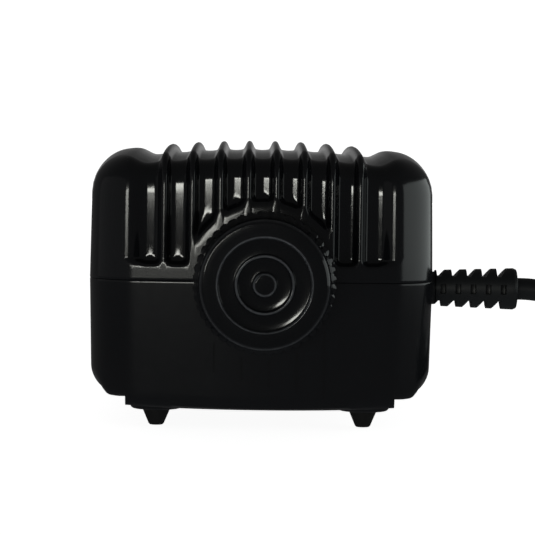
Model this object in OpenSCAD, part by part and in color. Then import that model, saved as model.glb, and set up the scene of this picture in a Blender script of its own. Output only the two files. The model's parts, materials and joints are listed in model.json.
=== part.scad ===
// Twin-outlet vibrating-armature aquarium air pump with a rotary flow control.
// Frame: +X right (cord side), -Y front (knob side), +Z up, origin on the
// standing surface below the middle of the pump. Millimetres.

/* [Case] */
// Width of the case at the parting line
case_w = 95; // [94:1:98]
// Length of the case, front face to back face
case_l = 140; // [138:1:146]
// Height of the highest rib above the standing surface
case_top = 76.7; // [76:0.1:80]
// Height of the parting line between the two halves
part_z = 38.8; // [38.4:0.1:39]
// Wall thickness of the plain walls
wall = 2.4; // [2:0.1:2.6]
// Depth of the cooling grooves in the top cover
groove_d = 2.6; // [1.5:0.1:2.8]
// Spacing of the ribs between the grooves
rib_pitch = 7.33; // [7:0.01:7.4]
// Width of one rib
rib_w = 1.9; // [1.5:0.1:2.4]
// Radius of the plain pad round the knob, where the grooves stop
pad_r = 21; // [19.5:0.1:22]

/* [Knob] */
// Outside radius of the knurled skirt
knob_r = 18.6; // [17:0.1:18.8]
// Radius of the front disc
knob_face_r = 16; // [15:0.1:16.4]
// Number of scallops round the skirt
knob_scallops = 44; // [36:1:48]
// Sideways offset of the knob and its pad from the middle
knob_x = 0.8; // [0:0.1:1]
// Radius of the control shaft
shaft_r = 3; // [3:0.1:3]

/* [Feet] */
// Height of the rubber cone below the foot boss
foot_h = 4.4; // [3.6:0.1:4.6]
// Sideways distance of each foot from the middle
foot_x = 27.5; // [27:0.5:28]
// Distance of each foot forward or back from the middle
foot_y = 58.5; // [56:0.5:60]

/* [Outlets] */
// Outside radius of the air outlet spigot
spigot_r = 2.5; // [2:0.1:2.8]
// Sideways distance of each outlet from the middle
outlet_x = 20; // [19:0.5:21]
// Height of the outlets
outlet_z = 48; // [47.5:0.5:49]

/* [Cord] */
// Diameter of the power cord
cord_d = 6; // [5.6:0.1:6]
// How far the strain relief stands out of the case
relief_l = 22.5; // [22:0.5:23]

/* [Hidden] */
$fn = 48;
hw = case_w / 2;
hl = case_l / 2;
crown_r = 274;      // radius of the top across the width
arch_r = 630;       // radius of the top along the length
shoulder_r = 8.5;    // shoulder between top and sides
brow_r = 7;         // rounding between top and front or back
draft = 0.6;        // how much narrower the walls are at the shoulder
corner_r = 12;      // upright corners, seen from above
front_bow = 300;    // bow of the front and back, seen from above
side_bow = 900;     // bow of the sides, seen from above
side_bottom = 8;    // underside of the case beside the base band
band_bottom = 5.2;  // underside of the base band
band_w = 35.4;        // half width of the base band
pivot_x = 13; pivot_y = 52; arm_z = 33;
dia_y = 18;         // distance back of the diaphragm axis
cord_y = -40; cord_z = 36.4;

function arcp(cx, cy, r, a0, a1, n) = [for (i = [0:n]) let (a = a0 + (a1 - a0) * i / n) [cx + r * cos(a), cy + r * sin(a)]];
function flip(pts) = [for (i = [len(pts) - 1:-1:0]) [-pts[i][0], pts[i][1]]];

// Arch-topped outline: half width h, top arc radius br, shoulder radius sr, inset dx at the sides and dz at the top
function outline(h, br, sr, dx, dz) =
  let (ht = h - draft, xk = (ht - sr) / (1 - sr / br), a = asin(xk / br),
       pz = case_top - br + sqrt(br * br - xk * xk),
       sx = xk - sr * sin(a), sz = pz - sr * cos(a),
       right = concat([[h - dx + draft, part_z - 40], [h - dx, part_z]],
                      arcp(sx + dz - dx, sz, sr - dz, 0, 90 - a, 9)),
       top = arcp(0, case_top - br, br - dz, 90 - a * 0.9, 90 + a * 0.9, 10))
  concat(right, top, flip(right));

// Outline seen from above
function plan_quarter(dx, dy) =
  let (cx = hw - 1.87 - corner_r * cos(3.7), xk = cx + corner_r * sin(6.2),
       py = hl - front_bow + sqrt(front_bow * front_bow - xk * xk),
       cy = py - corner_r * cos(6.2))
  concat([for (i = [0:5]) let (y = cy * i / 6) [hw - dx - y * y / (2 * side_bow), y]],
         arcp(cx + dy - dx, cy, corner_r - dy, 3.7, 90 - 6.2, 9),
         [for (i = [5:-1:0]) let (x = xk * i / 6) [x, hl - front_bow + sqrt(front_bow * front_bow - x * x) - dy]]);
function plan(dx, dy) =
  let (q = plan_quarter(dx, dy), n = len(q))
  concat(q, [for (i = [n - 2:-1:0]) [-q[i][0], q[i][1]]], [for (i = [1:n - 1]) [-q[i][0], -q[i][1]]], [for (i = [n - 2:-1:1]) [q[i][0], -q[i][1]]]);

module upper_form(dx, dy, dz) {
  intersection() {
    translate([0, 0, case_top - arch_r]) rotate([0, -90, 0]) rotate_extrude($fn = 96)
      polygon([for (p = outline(hw, crown_r, shoulder_r, dx, dz)) [p[1] - case_top + arch_r, p[0]]]);
    rotate([90, 0, 90]) translate([0, 0, -100]) linear_extrude(200) polygon(outline(hl, arch_r, brow_r, dy, dz));
    translate([0, 0, part_z - 2]) linear_extrude(60) polygon(plan(dx, dy));
  }
}

// Lower half: straight sided with rounded bottom edges
module lower_form(d) {
  br = 7.5;
  intersection() {
    rotate([90, 0, 0]) translate([0, 0, -100]) linear_extrude(200) polygon(concat(
      [[hw - d, part_z + 2]], arcp(hw - 0.7 - br, side_bottom + br, br - d, 0, -90, 8),
      flip(concat([[hw - d, part_z + 2]], arcp(hw - 0.7 - br, side_bottom + br, br - d, 0, -90, 8)))));
    translate([0, 0, side_bottom - 1]) linear_extrude(40) polygon(plan(d, d));
  }
}
// Base band: the deeper middle of the underside, flush with the front and back
module base_band(d) {
  intersection() {
    translate([0, 0, band_bottom + d]) linear_extrude(12) difference() {
      square([2 * (band_w - d), 2 * hl - 2 * d], center = true);
    }
    translate([0, 0, band_bottom - 1]) linear_extrude(20) polygon(plan(d, d));
    rotate([90, 0, 90]) translate([0, 0, -100]) linear_extrude(200) polygon(concat(
      [[hl - d, 30]], arcp(hl - 0.4 - 3, band_bottom + 3, 3 - d * 0.9, 0, -90, 6),
      flip(concat([[hl - d, 30]], arcp(hl - 0.4 - 3, band_bottom + 3, 3 - d * 0.9, 0, -90, 6)))));
  }
}

// Upright slot with rounded lower corners
module slot2d(x0, x1, z0) {
  r = min(1.5, (x1 - x0) / 2 - 0.05);
  translate([x0, z0 + r]) square([x1 - x0, 60]);
  translate([x0 + r, z0]) square([x1 - x0 - 2 * r, 60]);
  translate([x0 + r, z0 + r]) circle(r);
  translate([x1 - r, z0 + r]) circle(r);
}
module slots2d(z0) {
  for (i = [-3:3]) slot2d((i - 0.5) * rib_pitch + rib_w / 2, (i + 0.5) * rib_pitch - rib_w / 2, z0);
  for (s = [-1, 1]) slot2d(min(s * (3.5 * rib_pitch + rib_w / 2), s * 34.7), max(s * (3.5 * rib_pitch + rib_w / 2), s * 34.7), z0);
}
module groove_cutters() {
  rotate([90, 0, 0]) linear_extrude(90) difference() {
    slots2d(43.3);
    intersection() {
      translate([knob_x, part_z]) circle(pad_r, $fn = 96);
      square([5 * rib_pitch, 200], center = true);
    }
  }
  rotate([90, 0, 0]) translate([0, 0, -90]) linear_extrude(90.02) difference() {
    slots2d(43.3);
    translate([-26, 30]) square([52, 28]);
  }
}
screw_at = [[-33.1, -47], [33.1, -47], [-8, 64.3], [8, 64.3]];

module top_cover() {
  color([0.06, 0.06, 0.065]) difference() {
    union() {
      difference() {
        upper_form(0, 0, 0);
        difference() { groove_cutters(); upper_form(groove_d, groove_d, groove_d); }
        upper_form(wall, groove_d + 2.2, groove_d + 2.2);
      }
      intersection() {
        for (p = screw_at) translate([p[0], p[1], part_z]) cylinder(r = 4, h = p[1] > 0 ? 18 : 40);
        upper_form(1, 1, groove_d + 1);
      }
    }
    translate([-60, -80, part_z - 10]) cube([120, 160, 10]);
    for (p = screw_at) translate([p[0], p[1], part_z - 1]) cylinder(r = 1.5, h = 17);
    translate([knob_x, 0, part_z]) rotate([90, 0, 0]) cylinder(r = 4.2, h = 90);
    translate([38, cord_y, cord_z]) rotate([0, 90, 0]) cylinder(r = 4.6, h = 12);
    for (s = [-1, 1]) translate([s * outlet_x, 60, outlet_z]) rotate([-90, 0, 0]) cylinder(r = 4.05, h = 20);
  }
}

module lower_case() {
  color([0.055, 0.055, 0.06]) difference() {
    union() {
      difference() {
        union() {
          lower_form(0);
          base_band(0);
          for (x = [-foot_x, foot_x], y = [-foot_y, foot_y]) translate([x, y, foot_h]) cylinder(r = 7, h = 6);
        }
        lower_form(wall);
        intersection() {
          translate([-band_w + wall, -hl + 4, band_bottom + 2.5]) cube([2 * (band_w - wall), 2 * hl - 8, 40]);
          translate([0, 0, 0]) linear_extrude(60) polygon(plan(wall, wall));
        }
      }
      // screw columns
      for (p = screw_at) translate([p[0], p[1], 8]) cylinder(r = 4, h = part_z - 8);
      // foot sockets
      for (x = [-foot_x, foot_x], y = [-foot_y, foot_y]) translate([x, y, foot_h]) cylinder(r = 5, h = 7.4);
      // posts under the magnet core
      for (x = [-24, 24]) translate([x, -46, 7]) cylinder(r = 3.8, h = 17);
      // posts under the air chambers
      for (x = [-31, 31], y = [-4, 40]) translate([x, y, 7]) cylinder(r = 3.6, h = 8);
      // slotted guides for the circuit board
      for (x = [-22.5, 19.5]) translate([x, -59, 7]) cube([3, 5.6, 24]);
      // pivot pillars with their pockets
      for (s = [-1, 1]) translate([s * pivot_x - 8, 45.5, 7]) cube([16, 14.5, part_z - 5 + 7 - 0]);
      translate([-5.5, 47.5, 7]) cube([11, 11, part_z + 2 - 7]);
    }
    // everything above the pillars' top and the parting plane, apart from the pillars
    difference() {
      translate([-60, -80, part_z]) cube([120, 160, 20]);
      translate([-22, 45, part_z - 1]) cube([44, 15.5, 3]);
    }
    // pockets for the pivot rubbers
    for (s = [-1, 1]) translate([s * pivot_x - 6, 45, 26]) cube([12, 13, 30]);
    // clamp screw hole
    translate([0, 53, 24]) cylinder(r = 1.5, h = 30);
    // case screw clearance holes and head recesses
    for (p = screw_at) {
      translate([p[0], p[1], 0]) cylinder(r = 1.7, h = 60);
      translate([p[0], p[1], 0]) cylinder(r = 3.3, h = 20);
    }
    // foot sockets
    for (x = [-foot_x, foot_x], y = [-foot_y, foot_y]) translate([x, y, 0]) cylinder(r = 2.5, h = 8.4);
    for (x = [-24, 24]) translate([x, -46, 12]) cylinder(r = 1.5, h = 20);
    for (x = [-31, 31], y = [-4, 40]) translate([x, y, 9]) cylinder(r = 1.25, h = 8);
    // board slot
    translate([-20.3, -57.1, 10]) cube([40.6, 1.8, 40]);
    // shaft notch
    translate([knob_x, 0, part_z]) rotate([90, 0, 0]) cylinder(r = 4.2, h = 90);
    // strain relief notch
    translate([38, cord_y, cord_z]) rotate([0, 90, 0]) cylinder(r = 4.6, h = 12);
    // filter opening with a seat for the cover
    translate([-18, 7, 0]) cube([36, 26, 12]);
    translate([-20.2, 4.8, 0]) cube([40.4, 30.4, band_bottom + 1.6]);
    // shallow flutes below the knob
    difference() {
      for (i = [-2:2]) let (x = 2.3 + i * 7.2) translate([x - 0.3, -hl - 5, 11.5 - 1.6 * i]) cube([0.6, 5.9 + x * x / 600, 20]);
      translate([knob_x, 0, part_z]) rotate([90, 0, 0]) cylinder(r = pad_r, h = 90);
    }
  }
}

module case_screws() {
  color("silver") for (p = screw_at) translate([p[0], p[1], 0]) {
    difference() {
      translate([0, 0, 17.6]) cylinder(r = 2.9, h = 2.4);
      translate([-0.4, -2, 17]) cube([0.8, 4, 1.6]);
      translate([-2, -0.4, 17]) cube([4, 0.8, 1.6]);
    }
    translate([0, 0, 20]) cylinder(r = 1.45, h = 30);
  }
}

module foot(x, y) {
  color([0.03, 0.03, 0.03]) translate([x, y, 0]) rotate_extrude($fn = 48)
    polygon([[0, 0], [1.7, 0], [2.05, 0.35], [3.75, foot_h], [2.45, foot_h], [2.45, foot_h + 3.4], [0, foot_h + 3.4]]);
}
module foot_front_left() foot(-foot_x, -foot_y);
module foot_front_right() foot(foot_x, -foot_y);
module foot_rear_left() foot(-foot_x, foot_y);
module foot_rear_right() foot(foot_x, foot_y);

module filter_cover() {
  color([0.06, 0.06, 0.065]) difference() {
    translate([-20, 5, band_bottom]) cube([40, 30, 1.5]);
    for (i = [-3:3]) translate([i * 5 - 1, 9, 0]) cube([2, 22, 20]);
    for (x = [-18.3, 18.3]) translate([x, 20, 0]) cylinder(r = 0.7, h = 20);
  }
}
module filter_felt() color([0.85, 0.85, 0.8]) translate([-17.8, 7.2, band_bottom + 1.6]) cube([35.6, 25.6, 3]);

// Knob: scalloped skirt, sloping flank and a face of stepped rings
module control_knob() {
  color([0.02, 0.02, 0.02]) translate([knob_x, 0, part_z]) difference() {
    rotate([90, 0, 0]) rotate_extrude($fn = 96) polygon([
[shaft_r, 73], [4.6, 73], [4.6, 76], [12.5, 76], [14.4, 75], [16.2, 71.8], [knob_r, 71.8],
      [knob_r, 76.6], [17.5, 77.5], [16.9, 84.6], [knob_face_r, 86.5], [15.2, 87],
      [12.1, 87], [11.6, 86.5], [11.1, 85.5], [7.6, 85.2], [7.2, 86.1], [6.6, 86.1], [6.1, 84.7], [3.4, 84.5], [2.9, 85.8], [2.3, 86.2], [0, 86.2], [0, 83.5], [shaft_r, 83.5]]);
    for (i = [0:knob_scallops - 1]) rotate([0, i * 360 / knob_scallops, 0])
      translate([knob_r + 0.55, -71.2, 0]) rotate([90, 0, 0]) cylinder(r = 0.95, h = 5.9, $fn = 20);
  }
}
module control_shaft() {
  color("gainsboro") translate([knob_x, 0, part_z]) rotate([90, 0, 0]) translate([0, 0, 60]) cylinder(r = shaft_r, h = 23.5);
}
module control_pot() {
  color([0.2, 0.35, 0.5]) difference() {
    translate([knob_x, -57, part_z]) rotate([90, 0, 0]) { cylinder(r = 8.3, h = 6.5); cylinder(r = 3.9, h = 10.5); }
    translate([knob_x, -59.9, part_z]) rotate([90, 0, 0]) cylinder(r = shaft_r + 0.06, h = 20);
  }
}
module control_board() {
  color([0.1, 0.35, 0.15]) translate([-20, -57, 10]) cube([40, 1.6, 38]);
}
module board_capacitor() color([0.75, 0.6, 0.1]) translate([-18.5, -62.2, 16]) cube([9, 5.2, 13]);
module board_triac() {
  color([0.12, 0.12, 0.12]) difference() {
    union() {
      translate([8.6, -61.6, 16]) cube([10, 4.6, 9.2]);
      translate([8.6, -58.4, 25.2]) cube([10, 1.4, 6]);
    }
    translate([13.6, -50, 28.4]) rotate([90, 0, 0]) cylinder(r = 1.8, h = 20);
  }
}

// Electromagnet: E core with its legs pointing back, coil round the middle leg
module magnet_core() {
  color([0.45, 0.45, 0.47]) difference() {
    union() {
      translate([-28, -50, 24]) cube([56, 8, 18]);
      for (x = [-28, -6, 20]) translate([x, -42.01, 24]) cube([x == -6 ? 12 : 8, 30.01, 18]);
    }
    for (x = [-24, 24]) translate([x, -46, 20]) cylinder(r = 1.7, h = 30);
  }
}
module coil_bobbin() {
  color([0.9, 0.88, 0.8]) difference() {
    union() {
      translate([-7.4, -42, 22.6]) cube([14.8, 28, 20.8]);
      for (y = [-42, -15.2]) translate([-18.6, y, 12]) cube([37.2, 1.2, 42]);
    }
    translate([-6.05, -50, 23.95]) cube([12.1, 50, 18.1]);
  }
}
module coil_winding() {
  color([0.6, 0.28, 0.12]) difference() {
    translate([-17.4, -40.8, 13]) cube([34.8, 25.6, 40]);
    translate([-7.4, -50, 22.6]) cube([14.8, 50, 20.8]);
  }
}
module core_screws() {
  color("silver") for (x = [-24, 24]) translate([x, -46, 0]) {
    translate([0, 0, 42]) difference() { cylinder(r = 3, h = 2.2); translate([-0.4, -2, 1.2]) cube([0.8, 4, 2]); }
    translate([0, 0, 13]) cylinder(r = 1.45, h = 29);
  }
}

// Tube along a list of points, closed at both ends
function unit(v) = v / norm(v);
function tube_pts(path, r, n) = [for (i = [0:len(path) - 1])
  let (a = path[max(0, i - 1)], b = path[min(len(path) - 1, i + 1)], t = unit(b - a),
       ref = abs(t[2]) > 0.9 ? [1, 0, 0] : [0, 0, 1], u = unit(cross(ref, t)), w = cross(t, u))
  for (k = [0:n - 1]) path[i] + r * (cos(360 * k / n) * u + sin(360 * k / n) * w)];
module tube(path, r, n) {
  m = len(path);
  polyhedron(tube_pts(path, r, n), concat(
    [[for (k = [0:n - 1]) k]],
    [for (i = [0:m - 2], k = [0:n - 1]) [i * n + k, (i + 1) * n + k, (i + 1) * n + (k + 1) % n, i * n + (k + 1) % n]],
    [[for (k = [n - 1:-1:0]) (m - 1) * n + k]]), convexity = 10);
}
// Smooth curve through a few points
function spline(p, n) = concat([for (i = [0:len(p) - 2], k = [0:n - 1])
  let (a = p[max(0, i - 1)], b = p[i], c = p[i + 1], d = p[min(len(p) - 1, i + 2)], t = k / n)
  0.5 * (2 * b + (c - a) * t + (2 * a - 5 * b + 4 * c - d) * t * t + (3 * b - a - 3 * c + d) * t * t * t)], [p[len(p) - 1]]);

module coil_leads() {
  color([0.7, 0.1, 0.08]) for (s = [-1, 1])
    tube(spline([[s * 5, -42.05, 49], [s * 6, -46, 50.5], [s * 7, -51, 49], [s * 7.5, -55.3, 46]], 4), 0.8, 8);
}
module mains_leads() {
  color([0.25, 0.4, 0.7]) for (o = [-1.3, 1.3])
    tube(spline([[hw - 5.1, cord_y, cord_z + o], [41.2, cord_y, cord_z + o], [39.8, -42, 37.5 + o], [39, -47, 40 + o], [36.6, -51.6, 43 + o], [31, -53.4, 45 + o],
      [22, -53.2, 45 + o], [16.4, -53.2, 44.2 + o], [14.3, -54.1, 43.2 + o], [14, -55.35, 42.8 + o]], 2), 0.8, 8);
}

// Swinging arm with its magnets, on the right
module arm() {
  color([0.85, 0.83, 0.75]) difference() {
    union() {
      translate([pivot_x - 2, -3.5, arm_z - 7]) cube([4, pivot_y + 3.5 - 3, 14]);
      translate([pivot_x, pivot_y, arm_z - 7]) cylinder(r = 4, h = 14);
      translate([3.5, -6, arm_z - 8.5]) cube([19, 3.4, 17]);
      for (z = [arm_z - 8.5, arm_z + 7.2]) translate([3.5, -9, z]) cube([19, 3.2, 1.3]);
      translate([pivot_x, dia_y, arm_z]) rotate([0, 90, 0]) cylinder(r = 8, h = 4);
    }
    translate([0, dia_y, arm_z]) rotate([0, 90, 0]) cylinder(r = 1.5, h = 30);
    for (y = [2, 32]) translate([0, y, arm_z - 4]) cube([30, 8, 8]);
  }
}
module magnets() {
  color([0.15, 0.15, 0.16]) for (x = [4.2, 13.4]) translate([x, -10, arm_z - 7.1]) cube([8.4, 4, 14.2]);
}
module pivot_rubber() {
  color([0.05, 0.05, 0.05]) difference() {
    translate([pivot_x - 5.95, 46.5, 26]) cube([11.9, 11.45, 14]);
    translate([pivot_x, pivot_y, 20]) cylinder(r = 4.08, h = 30);
    translate([pivot_x - 2.6, 40, 20]) cube([5.2, 11, 30]);
  }
}
module diaphragm() {
  color([0.05, 0.05, 0.05]) translate([0, dia_y, arm_z]) rotate([0, 90, 0]) rotate_extrude($fn = 64) polygon([
    [1.5, 17], [8, 17], [9.2, 18.2], [10.2, 22], [12.6, 23.6], [14.4, 24.6], [15.5, 24.8], [15.5, 26.8], [14.2, 26.8],
    [12, 25.2], [9.4, 23.6], [8.2, 19.2], [7.6, 18.8], [1.5, 18.8]]);
}
module diaphragm_washer() {
  color("silver") difference() {
    translate([18.8, dia_y, arm_z]) rotate([0, 90, 0]) cylinder(r = 6, h = 1.2);
    translate([0, dia_y, arm_z]) rotate([0, 90, 0]) cylinder(r = 1.5, h = 30);
  }
}
module diaphragm_screw() {
  color("silver") {
    translate([20, dia_y, arm_z]) rotate([0, 90, 0]) difference() {
      cylinder(r = 2.8, h = 1.8);
      translate([-2, -0.4, 1]) cube([4, 0.8, 2]);
    }
    translate([10, dia_y, arm_z]) rotate([0, 90, 0]) cylinder(r = 1.45, h = 10);
  }
}
// Air chamber: diaphragm bowl inside, valve plate, inlet and outlet pockets outside
flap_z = 39; flap_len = 10.5; bead_r = 0.7;
in_y = 12; out_y = 25;
module chamber() {
  color([0.8, 0.8, 0.78]) difference() {
    union() {
      translate([24.8, 0, 15]) cube([13.2, 36, 36]);
      for (y = [-8, 35.9]) translate([26.5, y, 15]) cube([9, 8.1, 3]);
      translate([34.6, 35.9, 44]) rotate([-90, 0, 0]) cylinder(r = 2.5, h = 7.1);
    }
    // bowl behind the diaphragm and the seat for its rim
    translate([24, dia_y, arm_z]) rotate([0, 90, 0]) cylinder(r = 14, h = 7);
    translate([24, dia_y, arm_z]) rotate([0, 90, 0]) cylinder(r = 15.5, h = 2.8);
    // pockets on the outer side
    difference() {
      translate([33, 2, 17]) cube([10, 15, 32]);
      for (y = [0, 31], z = [15, 46]) translate([30, y, z]) cube([20, 5, 5]);
    }
    difference() {
      translate([33, 19, 17]) cube([10, 15, 32]);
      for (y = [0, 31], z = [15, 46]) translate([30, y, z]) cube([20, 5, 5]);
    }
    // valve holes
    for (y = [in_y, out_y], z = [31, 35]) translate([28, y, z]) rotate([0, 90, 0]) cylinder(r = 1.6, h = 8, $fn = 24);
    // outlet passage
    translate([34.6, 30, 44]) rotate([-90, 0, 0]) cylinder(r = 1.5, h = 20);
    // mounting holes and cover screw holes
    for (y = [-4, 40]) translate([31, y, 10]) cylinder(r = 1.5, h = 10);
    for (y = [2.5, 33.5], z = [17.5, 48.5]) translate([30, y, z]) rotate([0, 90, 0]) cylinder(r = 1, h = 10);
  }
  // ears that hold the flap beads
  color([0.8, 0.8, 0.78]) {
    difference() {
      for (s = [-1, 1]) translate([28.9, in_y + s * 5.1 - 0.7, flap_z - 1.4]) cube([2.2, 1.4, 2.8]);
      translate([30.1, in_y - 10, flap_z]) rotate([-90, 0, 0]) cylinder(r = bead_r + 0.06, h = 20, $fn = 24);
    }
    difference() {
      for (s = [-1, 1]) translate([32.9, out_y + s * 5.1 - 0.7, flap_z - 1.4]) cube([2.2, 1.4, 2.8]);
      translate([33.9, out_y - 10, flap_z]) rotate([-90, 0, 0]) cylinder(r = bead_r + 0.06, h = 20, $fn = 24);
    }
  }
}
module flap(x, y) {
  color([0.1, 0.1, 0.1]) {
    translate([x - 0.4, y - 4, flap_z - flap_len]) cube([0.8, 8, flap_len]);
    translate([x, y - 5.7, flap_z]) rotate([-90, 0, 0]) cylinder(r = bead_r, h = 11.4, $fn = 24);
  }
}
module gasket() {
  color([0.35, 0.1, 0.08]) difference() {
    translate([38, 0, 15]) cube([0.8, 36, 36]);
    translate([37, 4.6, 19.6]) cube([3, 11.8, 26.8]);
    translate([37, 19.6, 19.6]) cube([3, 11.8, 26.8]);
    for (y = [2.5, 33.5], z = [17.5, 48.5]) translate([30, y, z]) rotate([0, 90, 0]) cylinder(r = 1.1, h = 10);
  }
}
module chamber_cover() {
  color([0.8, 0.8, 0.78]) difference() {
    translate([38.8, 0, 15]) cube([1.8, 36, 36]);
    translate([37, 10, 26]) rotate([0, 90, 0]) cylinder(r = 2.2, h = 10);
    for (y = [2.5, 33.5], z = [17.5, 48.5]) translate([30, y, z]) rotate([0, 90, 0]) cylinder(r = 1.1, h = 20);
  }
}
module cover_screws() {
  color("silver") for (y = [2.5, 33.5], z = [17.5, 48.5]) translate([0, y, z]) rotate([0, 90, 0]) {
    translate([0, 0, 40.6]) cylinder(r = 2, h = 1.1);
    translate([0, 0, 32]) cylinder(r = 0.95, h = 8.6);
  }
}
module chamber_mount_screws() {
  color("silver") for (x = [-31, 31], y = [-4, 40]) translate([x, y, 0]) {
    translate([0, 0, 18]) cylinder(r = 2.6, h = 1.8);
    translate([0, 0, 10]) cylinder(r = 1.2, h = 8);
  }
}
hose_path = spline([[34.6, 37.5, 44], [34.6, 43.5, 44], [33, 47.5, 44.4], [25, 54, 47.6], [20, 57.5, 48], [20, 64, 48]], 4);
module hose() {
  color([0.8, 0.85, 0.85]) difference() {
    tube(hose_path, 3.7, 12);
    tube(concat([[34.6, 36, 44]], hose_path, [[20, 67, 48]]), 2.56 / cos(15), 12);
  }
}
module outlet() {
  color([0.05, 0.05, 0.05]) translate([outlet_x, 0, outlet_z]) rotate([-90, 0, 0]) difference() {
    rotate_extrude($fn = 48) polygon([
      [0, 58], [2.3, 58], [2.3, 65], [4, 65], [4, 69.7], [5.8, 69.7], [6, 69.9], [6, 71.6], [5.6, 72],
      [spigot_r, 72], [spigot_r, 85.4], [spigot_r - 0.7, 87], [0, 87]]);
    translate([0, 0, 50]) cylinder(r = 1.5, h = 40);
  }
}
module pivot_clamp() {
  color([0.65, 0.66, 0.68]) difference() {
    translate([-20, 47.5, part_z + 2]) cube([40, 10.5, 2]);
    translate([0, 53, 30]) cylinder(r = 1.7, h = 20);
  }
}
module pivot_clamp_screw() {
  color("silver") translate([0, 53, 0]) {
    translate([0, 0, part_z + 4]) difference() { cylinder(r = 2.9, h = 2); translate([-0.4, -2, 1]) cube([0.8, 4, 2]); }
    translate([0, 0, 26]) cylinder(r = 1.45, h = part_z + 4 - 26);
  }
}
module on_left() mirror([1, 0, 0]) children();

// Strain relief: flange inside the wall, neck, then ribs cut alternately top/bottom and front/back
module strain_relief() {
  x0 = hw - 5.1; n = 5; pitch = 4.1;
  color([0.03, 0.03, 0.03]) translate([0, cord_y, cord_z]) difference() {
    union() {
      translate([x0, 0, 0]) rotate([0, 90, 0]) cylinder(r = 6.6, h = 2);
      translate([x0, 0, 0]) rotate([0, 90, 0]) cylinder(r = 4.5, h = 8);
      translate([hw + 0.4, 0, 0]) rotate([0, 90, 0]) cylinder(r1 = 5.2, r2 = 5.7, h = relief_l - 1.4);
      translate([hw + relief_l - 1, 0, 0]) rotate([0, 90, 0]) cylinder(r1 = 5.7, r2 = 4.6, h = 1);
    }
    for (i = [0:n - 1]) {
      for (s = [0, 180]) rotate([s, 0, 0]) translate([hw + 1.6 + i * pitch, -8, 3.9]) cube([1.5, 16, 5]);
      for (s = [90, 270]) rotate([s, 0, 0]) translate([hw + 3.65 + i * pitch, -8, 3.9]) cube([1.5, 16, 5]);
    }
  }
}

// Route of the power cord: down to the standing surface, then into a coil
coil_c = [141, -8]; coil_z = 3.6; coil_r0 = 42; coil_turns = 3;
lead_route = spline([[70, -40, 36.4], [74, -40, 36.3], [80, -40.1, 35.2], [86, -40.4, 32.4], [92, -40.9, 27.9],
  [98, -41.6, 22], [104, -42.6, 15.4], [110, -44, 9.6], [117, -45.9, 5.4], [125, -48.2, 3.8], [133, -49.6, 3.6], [141, -50, 3.6]], 3);
tail_route = spline([[141, -50, 9.6], [149, -49.6, 9.6], [157, -48, 9.3], [165, -44.2, 8.4], [172.5, -38.2, 7.1], [178.5, -30.3, 5.6],
  [182.6, -21, 4.3], [184.8, -11, 3.4], [185.6, 0, 3.1], [185.2, 10.7, 3.1], [183.2, 21.3, 3.2], [179.1, 31.3, 3.6], [173.1, 39.9, 4.4], [165.2, 46.3, 5.6], [156.4, 49.8, 6.7], [148, 50.6, 7]], 2);
module power_cord() color([0.04, 0.04, 0.04]) tube(lead_route, cord_d / 2, 8);
module cord_coil() color([0.04, 0.04, 0.04]) translate([coil_c[0], coil_c[1], 0]) rotate_extrude($fn = 96)
  translate([20.8, 0.6]) square([24.4, 12]);
module cord_tail() color([0.04, 0.04, 0.04]) tube(tail_route, cord_d / 2, 8);
module cord_tie() {
  color([0.03, 0.03, 0.03]) translate([coil_c[0], coil_c[1], 0]) rotate([0, 0, 35]) difference() {
    translate([20.1, -2, 0]) cube([25.8, 4, 13.2]);
    intersection() {
      translate([0, 0, 0.6]) rotate_extrude($fn = 96) translate([20.8, 0]) square([24.4, 12]);
      translate([0, -5, 0]) cube([60, 10, 20]);
    }
  }
}
// Two-pin plug lying flat, pins towards -X
module plug_body() {
  color([0.04, 0.04, 0.04]) translate([2, 50.6, 7]) {
    hull() {
      translate([107, -11, 0]) rotate([0, 90, 0]) cylinder(r = 6.8, h = 12, $fn = 32);
      translate([107, 11, 0]) rotate([0, 90, 0]) cylinder(r = 6.8, h = 12, $fn = 32);
      translate([128, 0, 0]) rotate([0, 90, 0]) cylinder(r = 5.6, h = 4, $fn = 32);
    }
    translate([131, 0, 0]) rotate([0, 90, 0]) cylinder(r1 = 5.2, r2 = 4.2, h = 15);
  }
}
module plug_pins() {
  color("silver") for (s = [-1, 1]) translate([2, 50.6 + s * 9.3, 7]) rotate([0, 90, 0]) {
    translate([0, 0, 89]) cylinder(r = 2, h = 18);
    translate([0, 0, 88]) cylinder(r1 = 1.3, r2 = 2, h = 1);
  }
}

top_cover();
lower_case();
case_screws();
foot_front_left();
foot_front_right();
foot_rear_left();
foot_rear_right();
filter_felt();
filter_cover();
control_knob();
control_shaft();
control_pot();
control_board();
board_capacitor();
board_triac();
magnet_core();
coil_bobbin();
coil_winding();
core_screws();
coil_leads();
mains_leads();
arm();  // right_arm
on_left() arm();  // left_arm
magnets();  // right_magnets
on_left() magnets();  // left_magnets
pivot_rubber();  // right_pivot_rubber
on_left() pivot_rubber();  // left_pivot_rubber
pivot_clamp();
pivot_clamp_screw();
diaphragm();  // right_diaphragm
on_left() diaphragm();  // left_diaphragm
diaphragm_washer();  // right_diaphragm_washer
on_left() diaphragm_washer();  // left_diaphragm_washer
diaphragm_screw();  // right_diaphragm_screw
on_left() diaphragm_screw();  // left_diaphragm_screw
chamber();  // right_chamber
on_left() chamber();  // left_chamber
flap(30.1, in_y);  // right_inlet_flap
on_left() flap(30.1, in_y);  // left_inlet_flap
flap(33.9, out_y);  // right_outlet_flap
on_left() flap(33.9, out_y);  // left_outlet_flap
gasket();  // right_gasket
on_left() gasket();  // left_gasket
chamber_cover();  // right_chamber_cover
on_left() chamber_cover();  // left_chamber_cover
cover_screws();  // right_cover_screws
on_left() cover_screws();  // left_cover_screws
chamber_mount_screws();
hose();  // right_hose
on_left() hose();  // left_hose
outlet();  // right_outlet
on_left() outlet();  // left_outlet
strain_relief();
power_cord();
cord_coil();
cord_tail();
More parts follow.
